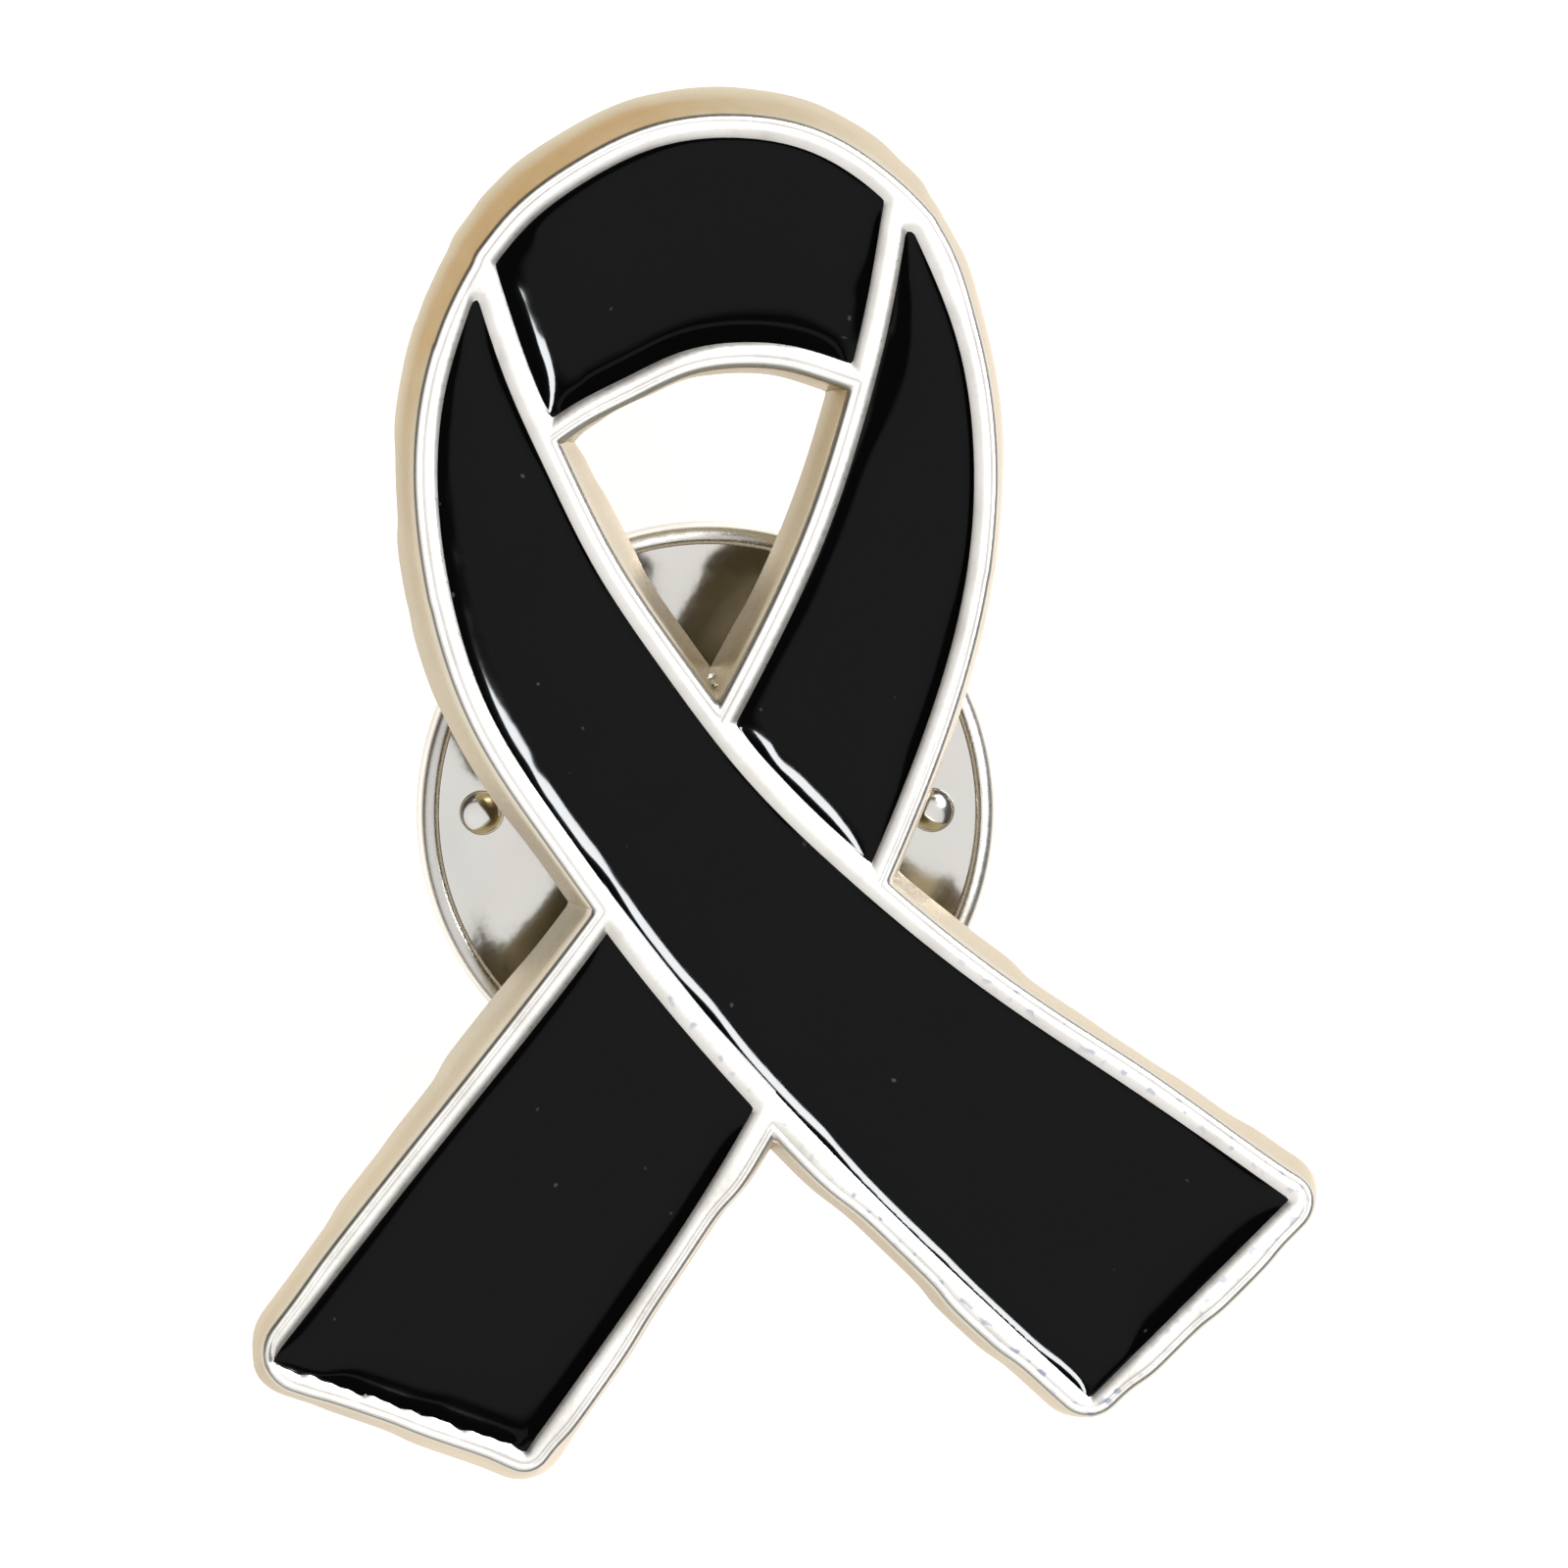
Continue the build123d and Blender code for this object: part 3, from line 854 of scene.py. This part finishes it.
def plated_metal(name, nodes, finishes):
    """Plated metal with faint waves, duller patches, and on the ribbon pits, painted reflection on
    the sides and painted shade on the back.
    """
    plating = PLATINGS[name]
    clean = tuple(plating.share * part for part in getattr(finishes, plating.colour))
    patches = nodes.noise(PATCHES, 4.0)
    shade = nodes.mix(nodes.ramp(patches, [(0.45, 0.0), (0.75, 1.0)]), clean, plating.dull)
    grain = nodes.noise(GRAIN, 3.0)
    smoothest, roughest = plating.shine
    roughness = nodes.math("MULTIPLY_ADD", grain, roughest - smoothest, smoothest)
    waves = nodes.math("MULTIPLY", nodes.noise(WAVES, 2.0), plating.wave)
    height = nodes.math("ADD", waves, nodes.math("MULTIPLY", grain, plating.wave * 0.12))
    # On the ribbon the sides get a painted reflection: a warm tone, strongest on sides facing up
    # and left, weaker near the walls' foot
    if plating.brass:
        up = nodes.out("ShaderNodeSeparateXYZ", {"Vector": nodes.place()}, "Z")
        foot = nodes.ramp(nodes.math("DIVIDE", up, WALL_REFLECTION_HEIGHT), [(0.0, 0.55), (1.0, 1.0)])
        uneven = nodes.math("MULTIPLY_ADD", patches, 0.3, 0.85)
        sides = nodes.math("MULTIPLY", nodes.math("MULTIPLY", nodes.stored("brassy"), uneven), foot)
        start = nodes.ramp(sides, [(0.0, 0.0), (0.2, 1.0)])
        shade = nodes.mix(start, shade, nodes.ramp(sides, plating.brass))
        specks = nodes.ramp(nodes.noise(PITS, 0.0), [(0.60, 0.0), (0.70, 1.0)])
        pits = nodes.math("MULTIPLY", nodes.math("MULTIPLY", specks, nodes.stored("pitted")), 0.8)
        # Pits, then the back's painted shade colour
        shade = nodes.mix(nodes.stored("back"), nodes.mix(pits, shade, PIT_COLOUR), BACK_SHADE_COLOUR)
    inputs = {"Base Color": shade, "Metallic": 1.0, "Roughness": roughness}
    nodes.surface({**inputs, "Specular Tint": (*plating.edge, 1)}, height)


def glossy_enamel(name, nodes, finishes):
    """Glossy black enamel with faint orange peel."""
    base = tuple(finishes.enamel)
    shade = nodes.mix(nodes.noise(CLOUDS, 3.0), base, tuple(part * 1.6 for part in base))
    specks = nodes.ramp(nodes.noise(SPECKS, 0.0), [(0.85, 0.0), (0.88, 1.0)])
    shade = nodes.mix(nodes.math("MULTIPLY", specks, 0.05), shade, SPECK_COLOUR)
    roughness = nodes.math("MULTIPLY_ADD", nodes.noise(GLOSS, 2.0), 0.04, 0.05)
    inputs = {"Base Color": shade, "Roughness": roughness, "IOR": ENAMEL_IOR}
    nodes.surface(inputs, nodes.noise(PEEL, 1.0), PEEL_HEIGHT)


def pale_backing(name, nodes, finishes):
    """A pale floor that lets a little light through, as a light table does."""
    base = tuple(finishes.floor)
    shade = nodes.mix(nodes.noise(3.0, 2.0), base, tuple(part * 0.98 for part in base))
    glow, strength = FLOOR_GLOW
    inputs = {"Base Color": shade, "Roughness": 0.9}
    nodes.surface({**inputs, "Emission Color": glow, "Emission Strength": strength})


def material_for(name):
    """One of the pin's materials, made when first asked for."""
    if name not in bpy.data.materials:
        material = bpy.data.materials.new(name)
        material.use_nodes = True
        others = {"glossy_enamel": glossy_enamel, "pale_backing": pale_backing}
        make = others.get(name, plated_metal)
        make(name, Nodes(material.node_tree), bpy.context.scene.pin_finishes)
    return bpy.data.materials[name]


def fallen(radius, away):
    """How far a rounding lies below its crest at a distance from it."""
    return radius - np.sqrt(radius ** 2 - away ** 2)


def metal_height(sizes, enamel, outline, wall):
    """Height of the metal's face over its back, from its distances."""
    inner = np.clip(sizes.inner_round - enamel, 0, sizes.inner_round)
    outer = np.clip(sizes.outer_round + outline, 0, sizes.outer_round)
    rim = fallen(sizes.inner_radius, inner) + fallen(sizes.outer_radius, outer)
    seam = sizes.seam * np.exp(-((outline + SEAM_PLACE) / SEAM_WIDTH) ** 2)
    edge = sizes.thickness - fallen(sizes.outer_radius, sizes.outer_round)
    return sizes.thickness - rim - seam - np.clip(wall, 0, 1) * edge


@lru_cache(maxsize=1)
def measured_ribbon(*size_values):
    """The ribbon's shape, and its contours. The values only tell whether the sizes have changed."""
    ribbon = Ribbon(bpy.context.scene.pin_ribbon)
    return ribbon, Contours(ribbon)


def own_names(group):
    """The names of a group's own values."""
    return [name for name in group.bl_rna.properties.keys() if name not in ("rna_type", "name")]


def ribbon_shape(sizes):
    """The ribbon's shape and contours, worked out once for the same sizes."""
    values = (getattr(sizes, name) for name in own_names(sizes))
    return measured_ribbon(*(v if isinstance(v, float) else tuple(v) for v in values))


class PinRibbon(bpy.types.Operator):
    """Builds the cast metal ribbon with its rims and its post"""

    bl_idname = "pin.ribbon"
    bl_label = "Metal ribbon"

    def execute(self, context):
        sizes = context.scene.pin_ribbon
        ribbon, contours = ribbon_shape(sizes)
        borders = contours.lines(contours.wall, [1])
        hollows = contours.lines(contours.enamel, [0])
        lines = contours.lines(contours.enamel, INNER_LEVELS)
        lines += contours.lines(contours.outline, OUTER_LEVELS)
        lines += contours.lines(contours.wall, WALL_LEVELS)
        mesh = bmesh.new()
        points, faces = filled(borders + hollows, lines)
        measures = ribbon.distances(points)
        heights = metal_height(sizes, *measures)
        heights[measures[2] > WALL_FOOT] = 0
        add_layer(mesh, points, heights, faces)
        add_flat(mesh, borders, 0)
        add_flat(mesh, hollows, sizes.enamel_floor)
        for loop in hollows:
            add_wall(mesh, loop, metal_height(sizes, *ribbon.distances(loop)), sizes.enamel_floor)
        self.add_post(mesh, context.scene.pin_post, sizes.enamel_floor / 2)
        piece = finish_mesh(mesh, "ribbon_metal", material_for("ribbon_plating"))
        self.paint_tones(piece.data, ribbon)
        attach(piece, "ribbon")
        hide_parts("ribbon_frame")
        return {"FINISHED"}

    def paint_tones(self, data, ribbon):
        """Marks the sides' painted warm reflection, where the plating is pitted, and which faces
        are the ribbon's back, painted in shade.
        """
        places, normals = (stored(data.vertices, name, 3) for name in ("co", "normal"))
        level, x_y, height = normals[:, :2], places[:, :2], places[:, 2]
        sideways = level / np.maximum(np.linalg.norm(level, axis=1), 0.05)[:, None]
        # The painted reflection's share: more on sides facing up-left and down in the picture, more
        # high on the pin, none on the rims
        base, facing, below = REFLECTION_SHARES
        brassy = base + facing * sideways @ REFLECTION_FACING + below * np.clip(-sideways[:, 1], 0, 1)
        high = np.clip(places[:, 1] / REFLECTION_CLIMB - 0.4, 0, 1)
        brassy = np.clip(brassy, REFLECTION_LEAST, 1) * (REFLECTION_LOW + (1 - REFLECTION_LOW) * high)
        brassy *= np.clip(ribbon.distances(x_y)[1] / REFLECTION_START + 2, 0, 1)
        corners = stored(data.loops, "vertex_index", kind=int)
        sides = stored(data.polygons, "loop_total", kind=int)
        facing_up = np.repeat(stored(data.polygons, "normal", 3)[:, 2] > -0.5, sides)
        add_values(data, "brassy", "CORNER", brassy[corners] * facing_up)
        # The back's faces, painted in shade by the material
        add_values(data, "back", "CORNER", ~facing_up & (np.abs(height[corners]) < MERGE))
        band = np.exp(-((ribbon.over.signed(x_y) - PIT_PLACE) / PIT_BAND) ** 2)
        pitted = band * np.clip((PIT_TOP - places[:, 1]) / MM, 0, 1)
        on_crest = height > ribbon.sizes.thickness * CREST_SHARE
        add_values(data, "pitted", "POINT", pitted * on_crest)

    def add_post(self, mesh, post, inner):
        """The post, with its solder, groove and point."""
        front = post.groove / 2 - post.groove_depth
        back = -post.groove / 2 - post.groove_depth
        slope = post.radius - post.groove_radius
        corners = [
            (0, inner, 0),
            (post.solder_radius, inner, 0),
            (post.solder_radius, 0, 0),
            (post.radius, -post.solder, 0.3 * MM),
            (post.radius, front, 0.05 * MM),
            (post.groove_radius, front - slope, 0.05 * MM),
            (post.groove_radius, back + slope, 0.05 * MM),
            (post.radius, back, 0.05 * MM),
            (post.radius, post.point - post.length, 0.4 * MM),
            (post.tip_radius, -post.length, 0.06 * MM),
            (0, -post.length, 0),
        ]
        add_lathe(mesh, rounded(corners), even_angles(48))


class PinEnamel(bpy.types.Operator):
    """Pours the four fields of enamel"""

    bl_idname = "pin.enamel"
    bl_label = "Enamel"

    def execute(self, context):
        sizes = context.scene.pin_ribbon
        ribbon, contours = ribbon_shape(sizes)
        lines = contours.lines(contours.enamel, POOL_LEVELS + [0])
        bottom = sizes.enamel_floor + sizes.gap
        for border in contours.lines(contours.enamel, [sizes.gap]):
            name = self.field_name(border)
            mesh = bmesh.new()
            inner = [line for line in lines if inside(border, line[:1])[0]]
            points, faces = filled([border], inner)
            add_layer(mesh, points, self.height(ribbon, points), faces)
            add_flat(mesh, [border], bottom)
            add_wall(mesh, border, self.height(ribbon, border), bottom)
            title = name.replace("enamel", "enamel_fill")
            piece = finish_mesh(mesh, title, material_for("glossy_enamel"))
            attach(piece, "ribbon")
            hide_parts(name)
        return {"FINISHED"}

    def field_name(self, border):
        """The node whose box a field's border matches best."""
        def misfit(name):
            low, high = (np.array(corner[:2]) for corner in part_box(name))
            return np.abs(border.min(0) - low).sum() + np.abs(border.max(0) - high).sum()

        return min(ENAMEL_NODES, key=misfit)

    def height(self, ribbon, points):
        """Height of the enamel, which climbs to every rim around it."""
        sizes = ribbon.sizes
        over, under = ribbon.over, ribbon.under
        reach = blended(CLIMBS, points)
        still = np.ones(len(points))
        to_over = over.signed(points)
        on_over = to_over < 0
        on_top = ~on_over & (under.signed(points) > sizes.rib / 2)
        on_under = ~on_over & ~on_top
        for strand, chosen in ((over, on_over), (under, on_under), (ribbon.top, on_top)):
            for path in (strand.left, strand.right, strand.tail):
                still[chosen] *= 1 - np.exp(-distance_to(path, points[chosen]) / reach[chosen])
        for chosen, away in (
            (on_under, to_over[on_under]),
            (on_top, distance_to(over.right_line, points[on_top])),
            (on_top, distance_to(under.left_line, points[on_top])),
        ):
            still[chosen] *= 1 - np.exp(-np.clip(away - sizes.rib, 0, None) / reach[chosen])
        flat = sizes.thickness - sizes.enamel_dish
        rim = sizes.enamel_dish - fallen(sizes.inner_radius, sizes.inner_round)
        return flat + np.minimum(rim, blended(CLIMBS, points, "slope") * reach) * (1 - still)


class PinClutch(bpy.types.Operator):
    """Builds the clutch's shell and its plate"""

    bl_idname = "pin.clutch"
    bl_label = "Clutch"

    def execute(self, context):
        sizes = context.scene.pin_clutch
        wings = context.scene.pin_wings
        sheet = sizes.sheet
        front = -sizes.cloth_gap
        plate_front = front - sheet - sizes.seam
        plate_back = plate_front - sizes.plate
        flange_front = plate_back - sizes.seam
        flange_back = flange_front - sheet
        window_back = front - wings.jaw_depth - wings.sheet / 2 - WINDOW_PLAY
        dome_back = front - sizes.dome_depth
        rim, outer = sizes.disc_radius, sizes.dome_radius
        inner = outer - sheet
        lip_in, lip_out = LIP_ROUNDS
        profile = rounded([
            (0, dome_back + sheet, 0),
            (inner, dome_back + sheet, sizes.dome_round - sheet),
            (inner, window_back, 0),
            (inner, flange_back, 0),
            (inner, flange_front, 0),
            (rim - sheet, flange_front, 0),
            (rim - sheet, front - sheet, 0),
            (rim - sizes.lip, front - sheet, 0),
            (rim - sizes.lip, front, lip_in),
            (rim, front, lip_out),
            (rim, flange_back, lip_out),
            (outer, flange_back, 0),
            (outer, window_back, 0),
            (outer, dome_back, sizes.dome_round),
            (0, dome_back, 0),
        ], 8)
        edges = [
            profile.index((radius, height)) for radius, height in (
                (inner, window_back), (inner, flange_back),
                (outer, flange_back), (outer, window_back),
            )
        ]
        mesh = bmesh.new()
        self.turn(mesh, profile, edges, math.asin(sizes.window_width / 2 / outer))
        shell = finish_mesh(mesh, "clutch_cap", material_for("clutch_plating"))
        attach(shell, "clutch")
        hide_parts("clutch_shell")

        reach = rim - sheet - sizes.seam
        hole = sizes.hole_radius
        rings = np.linspace(reach, FIRST_RING, PLATE_RINGS)[1:]
        mesh = bmesh.new()
        add_lathe(mesh, rounded([
            (hole, plate_back, 0),
            (reach, plate_back, 0),
            (reach, plate_front, 0),
            *((radius, plate_front, 0) for radius in rings),
            (hole + HOLE_FALL[0], plate_front, HOLE_ROUND),
            (hole, plate_front - HOLE_FALL[1], 0),
        ]), even_angles(180))
        for corner in mesh.verts:
            if corner.co.z > plate_front - MERGE:
                corner.co.z -= self.dent(sizes, corner.co, reach)
        plate = finish_mesh(mesh, "clutch_face", material_for("clutch_face_plating"))
        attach(plate, "clutch")
        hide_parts("clutch_plate")
        return {"FINISHED"}

    def turn(self, mesh, profile, edges, window):
        """Turns the shell's profile, with a window that is open half that wide on either side."""
        marks = [-window, window, math.pi - window, math.pi + window, 2 * math.pi - window]
        angles, in_window = [], []
        for side, (start, end) in enumerate(zip(marks, marks[1:])):
            count = max(4, int((end - start) / WINDOW_STEP))
            if side % 2 == 0:
                in_window += range(len(angles), len(angles) + count)
            angles += [start + (end - start) * i / count for i in range(count)]
        inner_back, inner_front, outer_front, outer_back = edges
        skip = {(ring, step) for ring in (inner_back, outer_front) for step in in_window}
        rings = add_lathe(mesh, profile, angles, skip)
        for step in in_window:
            after = (step + 1) % len(angles)
            for one, two in ((inner_back, outer_back), (inner_front, outer_front)):
                corners = (rings[one][step], rings[one][after], rings[two][after], rings[two][step])
                mesh.faces.new(corners)
            for side, beyond in ((step, step - 1), (after, after)):
                if beyond % len(angles) not in in_window:
                    mesh.faces.new([rings[edge][side] for edge in edges])

    def dent(self, sizes, place, reach):
        """How far the stamped plate lies below its highest places."""
        x, y = (value / PLATE_WAVE for value in place.xy)
        wave = math.sin(x + 0.6 * y + 0.9) * math.cos(1.1 * y - 0.7 * x + 0.4)
        wave += 0.5 * math.sin(2.3 * x - 1.7 * y)
        fade = min((reach - place.xy.length) / PLATE_FADE, 1)
        return sizes.dents * (1.5 - wave) / 3 * fade


def grown_piece(name, tree, values):
    """A plain mesh object with what a tree of geometry nodes makes from named values."""
    holder = new_object(name + "_holder", bpy.data.meshes.new(name + "_holder"))
    modifier = holder.modifiers.new("Nodes", "NODES")
    modifier.node_group = tree
    for socket in tree.interface.items_tree:
        if socket.in_out == "INPUT":
            modifier[socket.identifier] = values[socket.name]
    evaluated = holder.evaluated_get(bpy.context.evaluated_depsgraph_get())
    data = bpy.data.meshes.new_from_object(evaluated)
    holder.modifiers.remove(modifier)
    bpy.data.objects.remove(holder)
    if len(data.polygons) == 0:
        raise RuntimeError(name + " came out empty")
    used = [material for material in data.materials if material]
    data.materials.clear()
    for material in used:
        data.materials.append(material)
    data.polygons.foreach_set("material_index", [0] * len(data.polygons))
    data.name = name
    return new_object(name, data)


def nub_tree():
    """Equal round nubs in a row across the post, as geometry nodes."""
    tree = bpy.data.node_groups.new("grip_nubs", "GeometryNodeTree")
    kinds = {"Count": "Int", "Material": "Material"}
    for name in ("Count", "Reach", "Front", "Radius", "Height", "Material"):
        kind = "NodeSocket" + kinds.get(name, "Float")
        tree.interface.new_socket(name=name, in_out="INPUT", socket_type=kind)
    tree.interface.new_socket(name="Geometry", in_out="OUTPUT", socket_type="NodeSocketGeometry")
    nodes = Nodes(tree)
    given = nodes.add("NodeGroupInput").outputs
    length = nodes.math("MULTIPLY", given["Reach"], 2.0)
    step = nodes.math("DIVIDE", length, nodes.math("SUBTRACT", given["Count"], 1.0))
    start = {"X": nodes.math("MULTIPLY", given["Reach"], -1.0), "Z": given["Front"]}
    size = {"X": given["Radius"], "Y": given["Radius"], "Z": given["Height"]}
    start, step, size = (
        nodes.out("ShaderNodeCombineXYZ", axes) for axes in (start, {"X": step}, size)
    )
    row = {"Count": given["Count"], "Start Location": start, "Offset": step}
    row = nodes.out("GeometryNodeMeshLine", row)
    nub = nodes.out("GeometryNodeMeshUVSphere", {"Segments": 40, "Rings": 20, "Radius": 1.0})
    nub = nodes.out("GeometryNodeTransform", {"Geometry": nub, "Scale": size})
    nubs = nodes.out("GeometryNodeInstanceOnPoints", {"Points": row, "Instance": nub})
    nubs = nodes.out("GeometryNodeRealizeInstances", {"Geometry": nubs})
    nubs = nodes.out("GeometryNodeSetShadeSmooth", {"Geometry": nubs})
    painted = {"Geometry": nubs, "Material": given["Material"]}
    nodes.add("NodeGroupOutput", {"Geometry": nodes.out("GeometryNodeSetMaterial", painted)})
    return tree


class PinNubs(bpy.types.Operator):
    """Sets the grip nubs on the clutch's plate"""

    bl_idname = "pin.nubs"
    bl_label = "Grip nubs"

    def execute(self, context):
        sizes = context.scene.pin_clutch
        values = {
            "Count": 2,
            "Reach": sizes.nub_reach,
            "Front": -sizes.cloth_gap - sizes.sheet - sizes.seam,
            "Radius": sizes.nub_radius,
            "Height": sizes.nub_height,
            "Material": material_for("clutch_face_plating"),
        }
        piece = grown_piece("grip_nubs", nub_tree(), values)
        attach(piece, "clutch")
        return {"FINISHED"}


class PinWings(bpy.types.Operator):
    """Builds the two squeeze wings"""

    bl_idname = "pin.wings"
    bl_label = "Squeeze wings"

    def execute(self, context):
        sizes = context.scene.pin_wings
        front = -context.scene.pin_clutch.cloth_gap
        path = np.array(rounded([
            (0, front - sizes.jaw_depth, 0),
            (sizes.elbow, front - sizes.jaw_depth, sizes.elbow_radius),
            (sizes.tip, front - sizes.tip_depth, 0),
        ], 12))
        along = lengths_along(path)
        bend, end = along[-2:]
        rows, columns = WING_GRID
        for name, side in (("wing_left", -1), ("wing_right", 1)):
            mesh = bmesh.new()
            grid = []
            for across in np.linspace(-1, 1, rows):
                start = self.jaw(sizes, across * sizes.neck / 2)
                tip = end - self.corner(sizes, across * sizes.flare / 2)
                row = []
                for share in np.linspace(0, 1, columns):
                    place = start + (tip - start) * share
                    half = self.half_width(sizes, (place - bend) / (end - bend))
                    x, z = (np.interp(place, along, path[:, axis]) for axis in (0, 1))
                    row.append(mesh.verts.new((side * x, across * half, z)))
                grid.append(row)
            for row, after in zip(grid, grid[1:]):
                for i in range(len(row) - 1):
                    mesh.faces.new((row[i], row[i + 1], after[i + 1], after[i]))
            title = name.replace("wing", "squeeze_wing")
            piece = finish_mesh(mesh, title, material_for("clutch_plating"))
            solidify = piece.modifiers.new("Sheet", "SOLIDIFY")
            solidify.thickness = sizes.sheet
            solidify.offset = 0
            bevel = piece.modifiers.new("Edges", "BEVEL")
            bevel.width = WING_EDGE
            bevel.segments = 3
            bevel.limit_method = "ANGLE"
            bevel.angle_limit = math.radians(50)
            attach(piece, name)
            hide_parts(name)
        return {"FINISHED"}

    def jaw(self, sizes, across):
        """Where the jaw starts, round the post."""
        notch = math.sqrt(max(sizes.jaw_radius ** 2 - across ** 2, 0))
        return max(notch, sizes.jaw_start)

    def corner(self, sizes, across):
        """How much a rounded corner takes off the tip."""
        beyond = max(abs(across) - (sizes.flare / 2 - sizes.corner), 0)
        return sizes.corner - math.sqrt(max(sizes.corner ** 2 - beyond ** 2, 0))

    def half_width(self, sizes, below):
        """Half the width of the wing, which flares below its bend, at a share of the way there."""
        share = min(max((below - FLARE_START) / FLARE_RUN, 0), 1)
        share = share * share * (3 - 2 * share)
        return (sizes.neck + (sizes.flare - sizes.neck) * share) / 2


def aimed(place, backward):
    """A place and a turn that looks against a direction, with +Y up in the picture."""
    right = Vector((0, 1, 0)).cross(backward).normalized()
    up = backward.cross(right)
    turn = Matrix((right, up, backward)).transposed().to_4x4()
    return Matrix.Translation(place) @ turn


def add_lights():
    """The soft lights, each turned to the pin."""
    for name, around, off_zenith, distance, width, height, power, tint in LIGHTS:
        light = bpy.data.lights.new(name, "AREA")
        light.shape = "RECTANGLE"
        light.size, light.size_y = width, height
        light.energy, light.color = power, tint
        around, off_zenith = math.radians(around), math.radians(off_zenith)
        sideways, up = math.sin(off_zenith), math.cos(off_zenith)
        toward = Vector((sideways * math.cos(around), sideways * math.sin(around), up))
        new_object(name, light).matrix_world = aimed(toward * distance, toward)


def add_surroundings(scene):
    """Surroundings whose brightness changes with height, warm on the left and cool on the right."""
    world = bpy.data.worlds.new("studio")
    world.use_nodes = True
    scene.world = world
    nodes = Nodes(world.node_tree)
    direction = nodes.out("ShaderNodeTexCoord", output="Generated")
    axes = nodes.add("ShaderNodeSeparateXYZ", {"Vector": direction}).outputs
    warm, high = (nodes.math("MULTIPLY_ADD", axes[name], 0.5, 0.5) for name in ("X", "Z"))
    tint, glow = nodes.mix(warm, WARM_SIDE, COOL_SIDE), nodes.ramp(high, SKY)
    around = nodes.out("ShaderNodeBackground", {"Color": tint, "Strength": glow})
    inputs = {0: direction, 1: OVERHEAD}
    toward = nodes.out("ShaderNodeVectorMath", inputs, "Value", operation="DOT_PRODUCT")
    inputs = {"Color": OVERHEAD_TINT, "Strength": nodes.ramp(toward, OVERHEAD_GLOW)}
    overhead = nodes.out("ShaderNodeBackground", inputs)
    both = nodes.out("ShaderNodeAddShader", {0: around, 1: overhead})
    nodes.add("ShaderNodeOutputWorld", {"Surface": both})


class PinStage(bpy.types.Operator):
    """Sets the camera, the soft lights and the pale floor"""

    bl_idname = "pin.stage"
    bl_label = "Stage"

    def execute(self, context):
        sizes = context.scene.pin_stage
        scene = context.scene
        target = Vector((sizes.centre_across, sizes.centre_up, scene.pin_ribbon.thickness))
        toward = Vector((-math.tan(sizes.lean_left), math.tan(sizes.lean_up), 1)).normalized()
        data = bpy.data.cameras.new("camera")
        data.sensor_width = 36
        data.lens = data.sensor_width * sizes.distance / sizes.field
        camera = new_object("camera", data)
        camera.matrix_world = aimed(target + toward * sizes.distance, toward)
        scene.camera = camera
        scene.view_settings.view_transform = "Standard"

        add_lights()
        add_surroundings(scene)

        low, high = -sizes.floor / 2, sizes.floor / 2
        corners = ((low, low), (high, low), (high, high), (low, high))
        mesh = bmesh.new()
        add_layer(mesh, corners, CAD_BOX[0][2], [range(4)])
        floor = finish_mesh(mesh, "floor", material_for("pale_backing"))
        return {"FINISHED"}


class PinPanel(bpy.types.Panel):
    """Lists the pin's pieces and its stage"""

    bl_idname = "VIEW3D_PT_ribbon_pin"
    bl_label = "Ribbon pin"
    bl_space_type = "VIEW_3D"
    bl_region_type = "UI"
    bl_category = "Ribbon pin"

    def draw(self, context):
        for operator in OPERATORS:
            self.layout.operator(operator.bl_idname)
        for group in GROUPS:
            settings = getattr(context.scene, group)
            box = self.layout.box()
            for name in own_names(settings):
                box.prop(settings, name)


GROUPS = {
    "pin_ribbon": RibbonSizes,
    "pin_post": PostSizes,
    "pin_clutch": ClutchSizes,
    "pin_wings": WingSizes,
    "pin_finishes": Finishes,
    "pin_stage": StageSizes,
}
OPERATORS = [PinStage, PinRibbon, PinEnamel, PinClutch, PinNubs, PinWings]


def register():
    """Adds the sizes, tools and panel to Blender."""
    for name, group in GROUPS.items():
        bpy.utils.register_class(group)
        setattr(bpy.types.Scene, name, PointerProperty(type=group))
    for tool in OPERATORS + [PinPanel]:
        bpy.utils.register_class(tool)


def unregister():
    """Takes them away again."""
    for tool in reversed(OPERATORS + [PinPanel]):
        bpy.utils.unregister_class(tool)
    for name, group in reversed(GROUPS.items()):
        delattr(bpy.types.Scene, name)
        bpy.utils.unregister_class(group)


def main():
    """Registers the tools and builds the pin and its stage."""
    register()
    for tool in OPERATORS:
        category, name = tool.bl_idname.split(".")
        getattr(getattr(bpy.ops, category), name)()


if __name__ == "__main__":
    main()
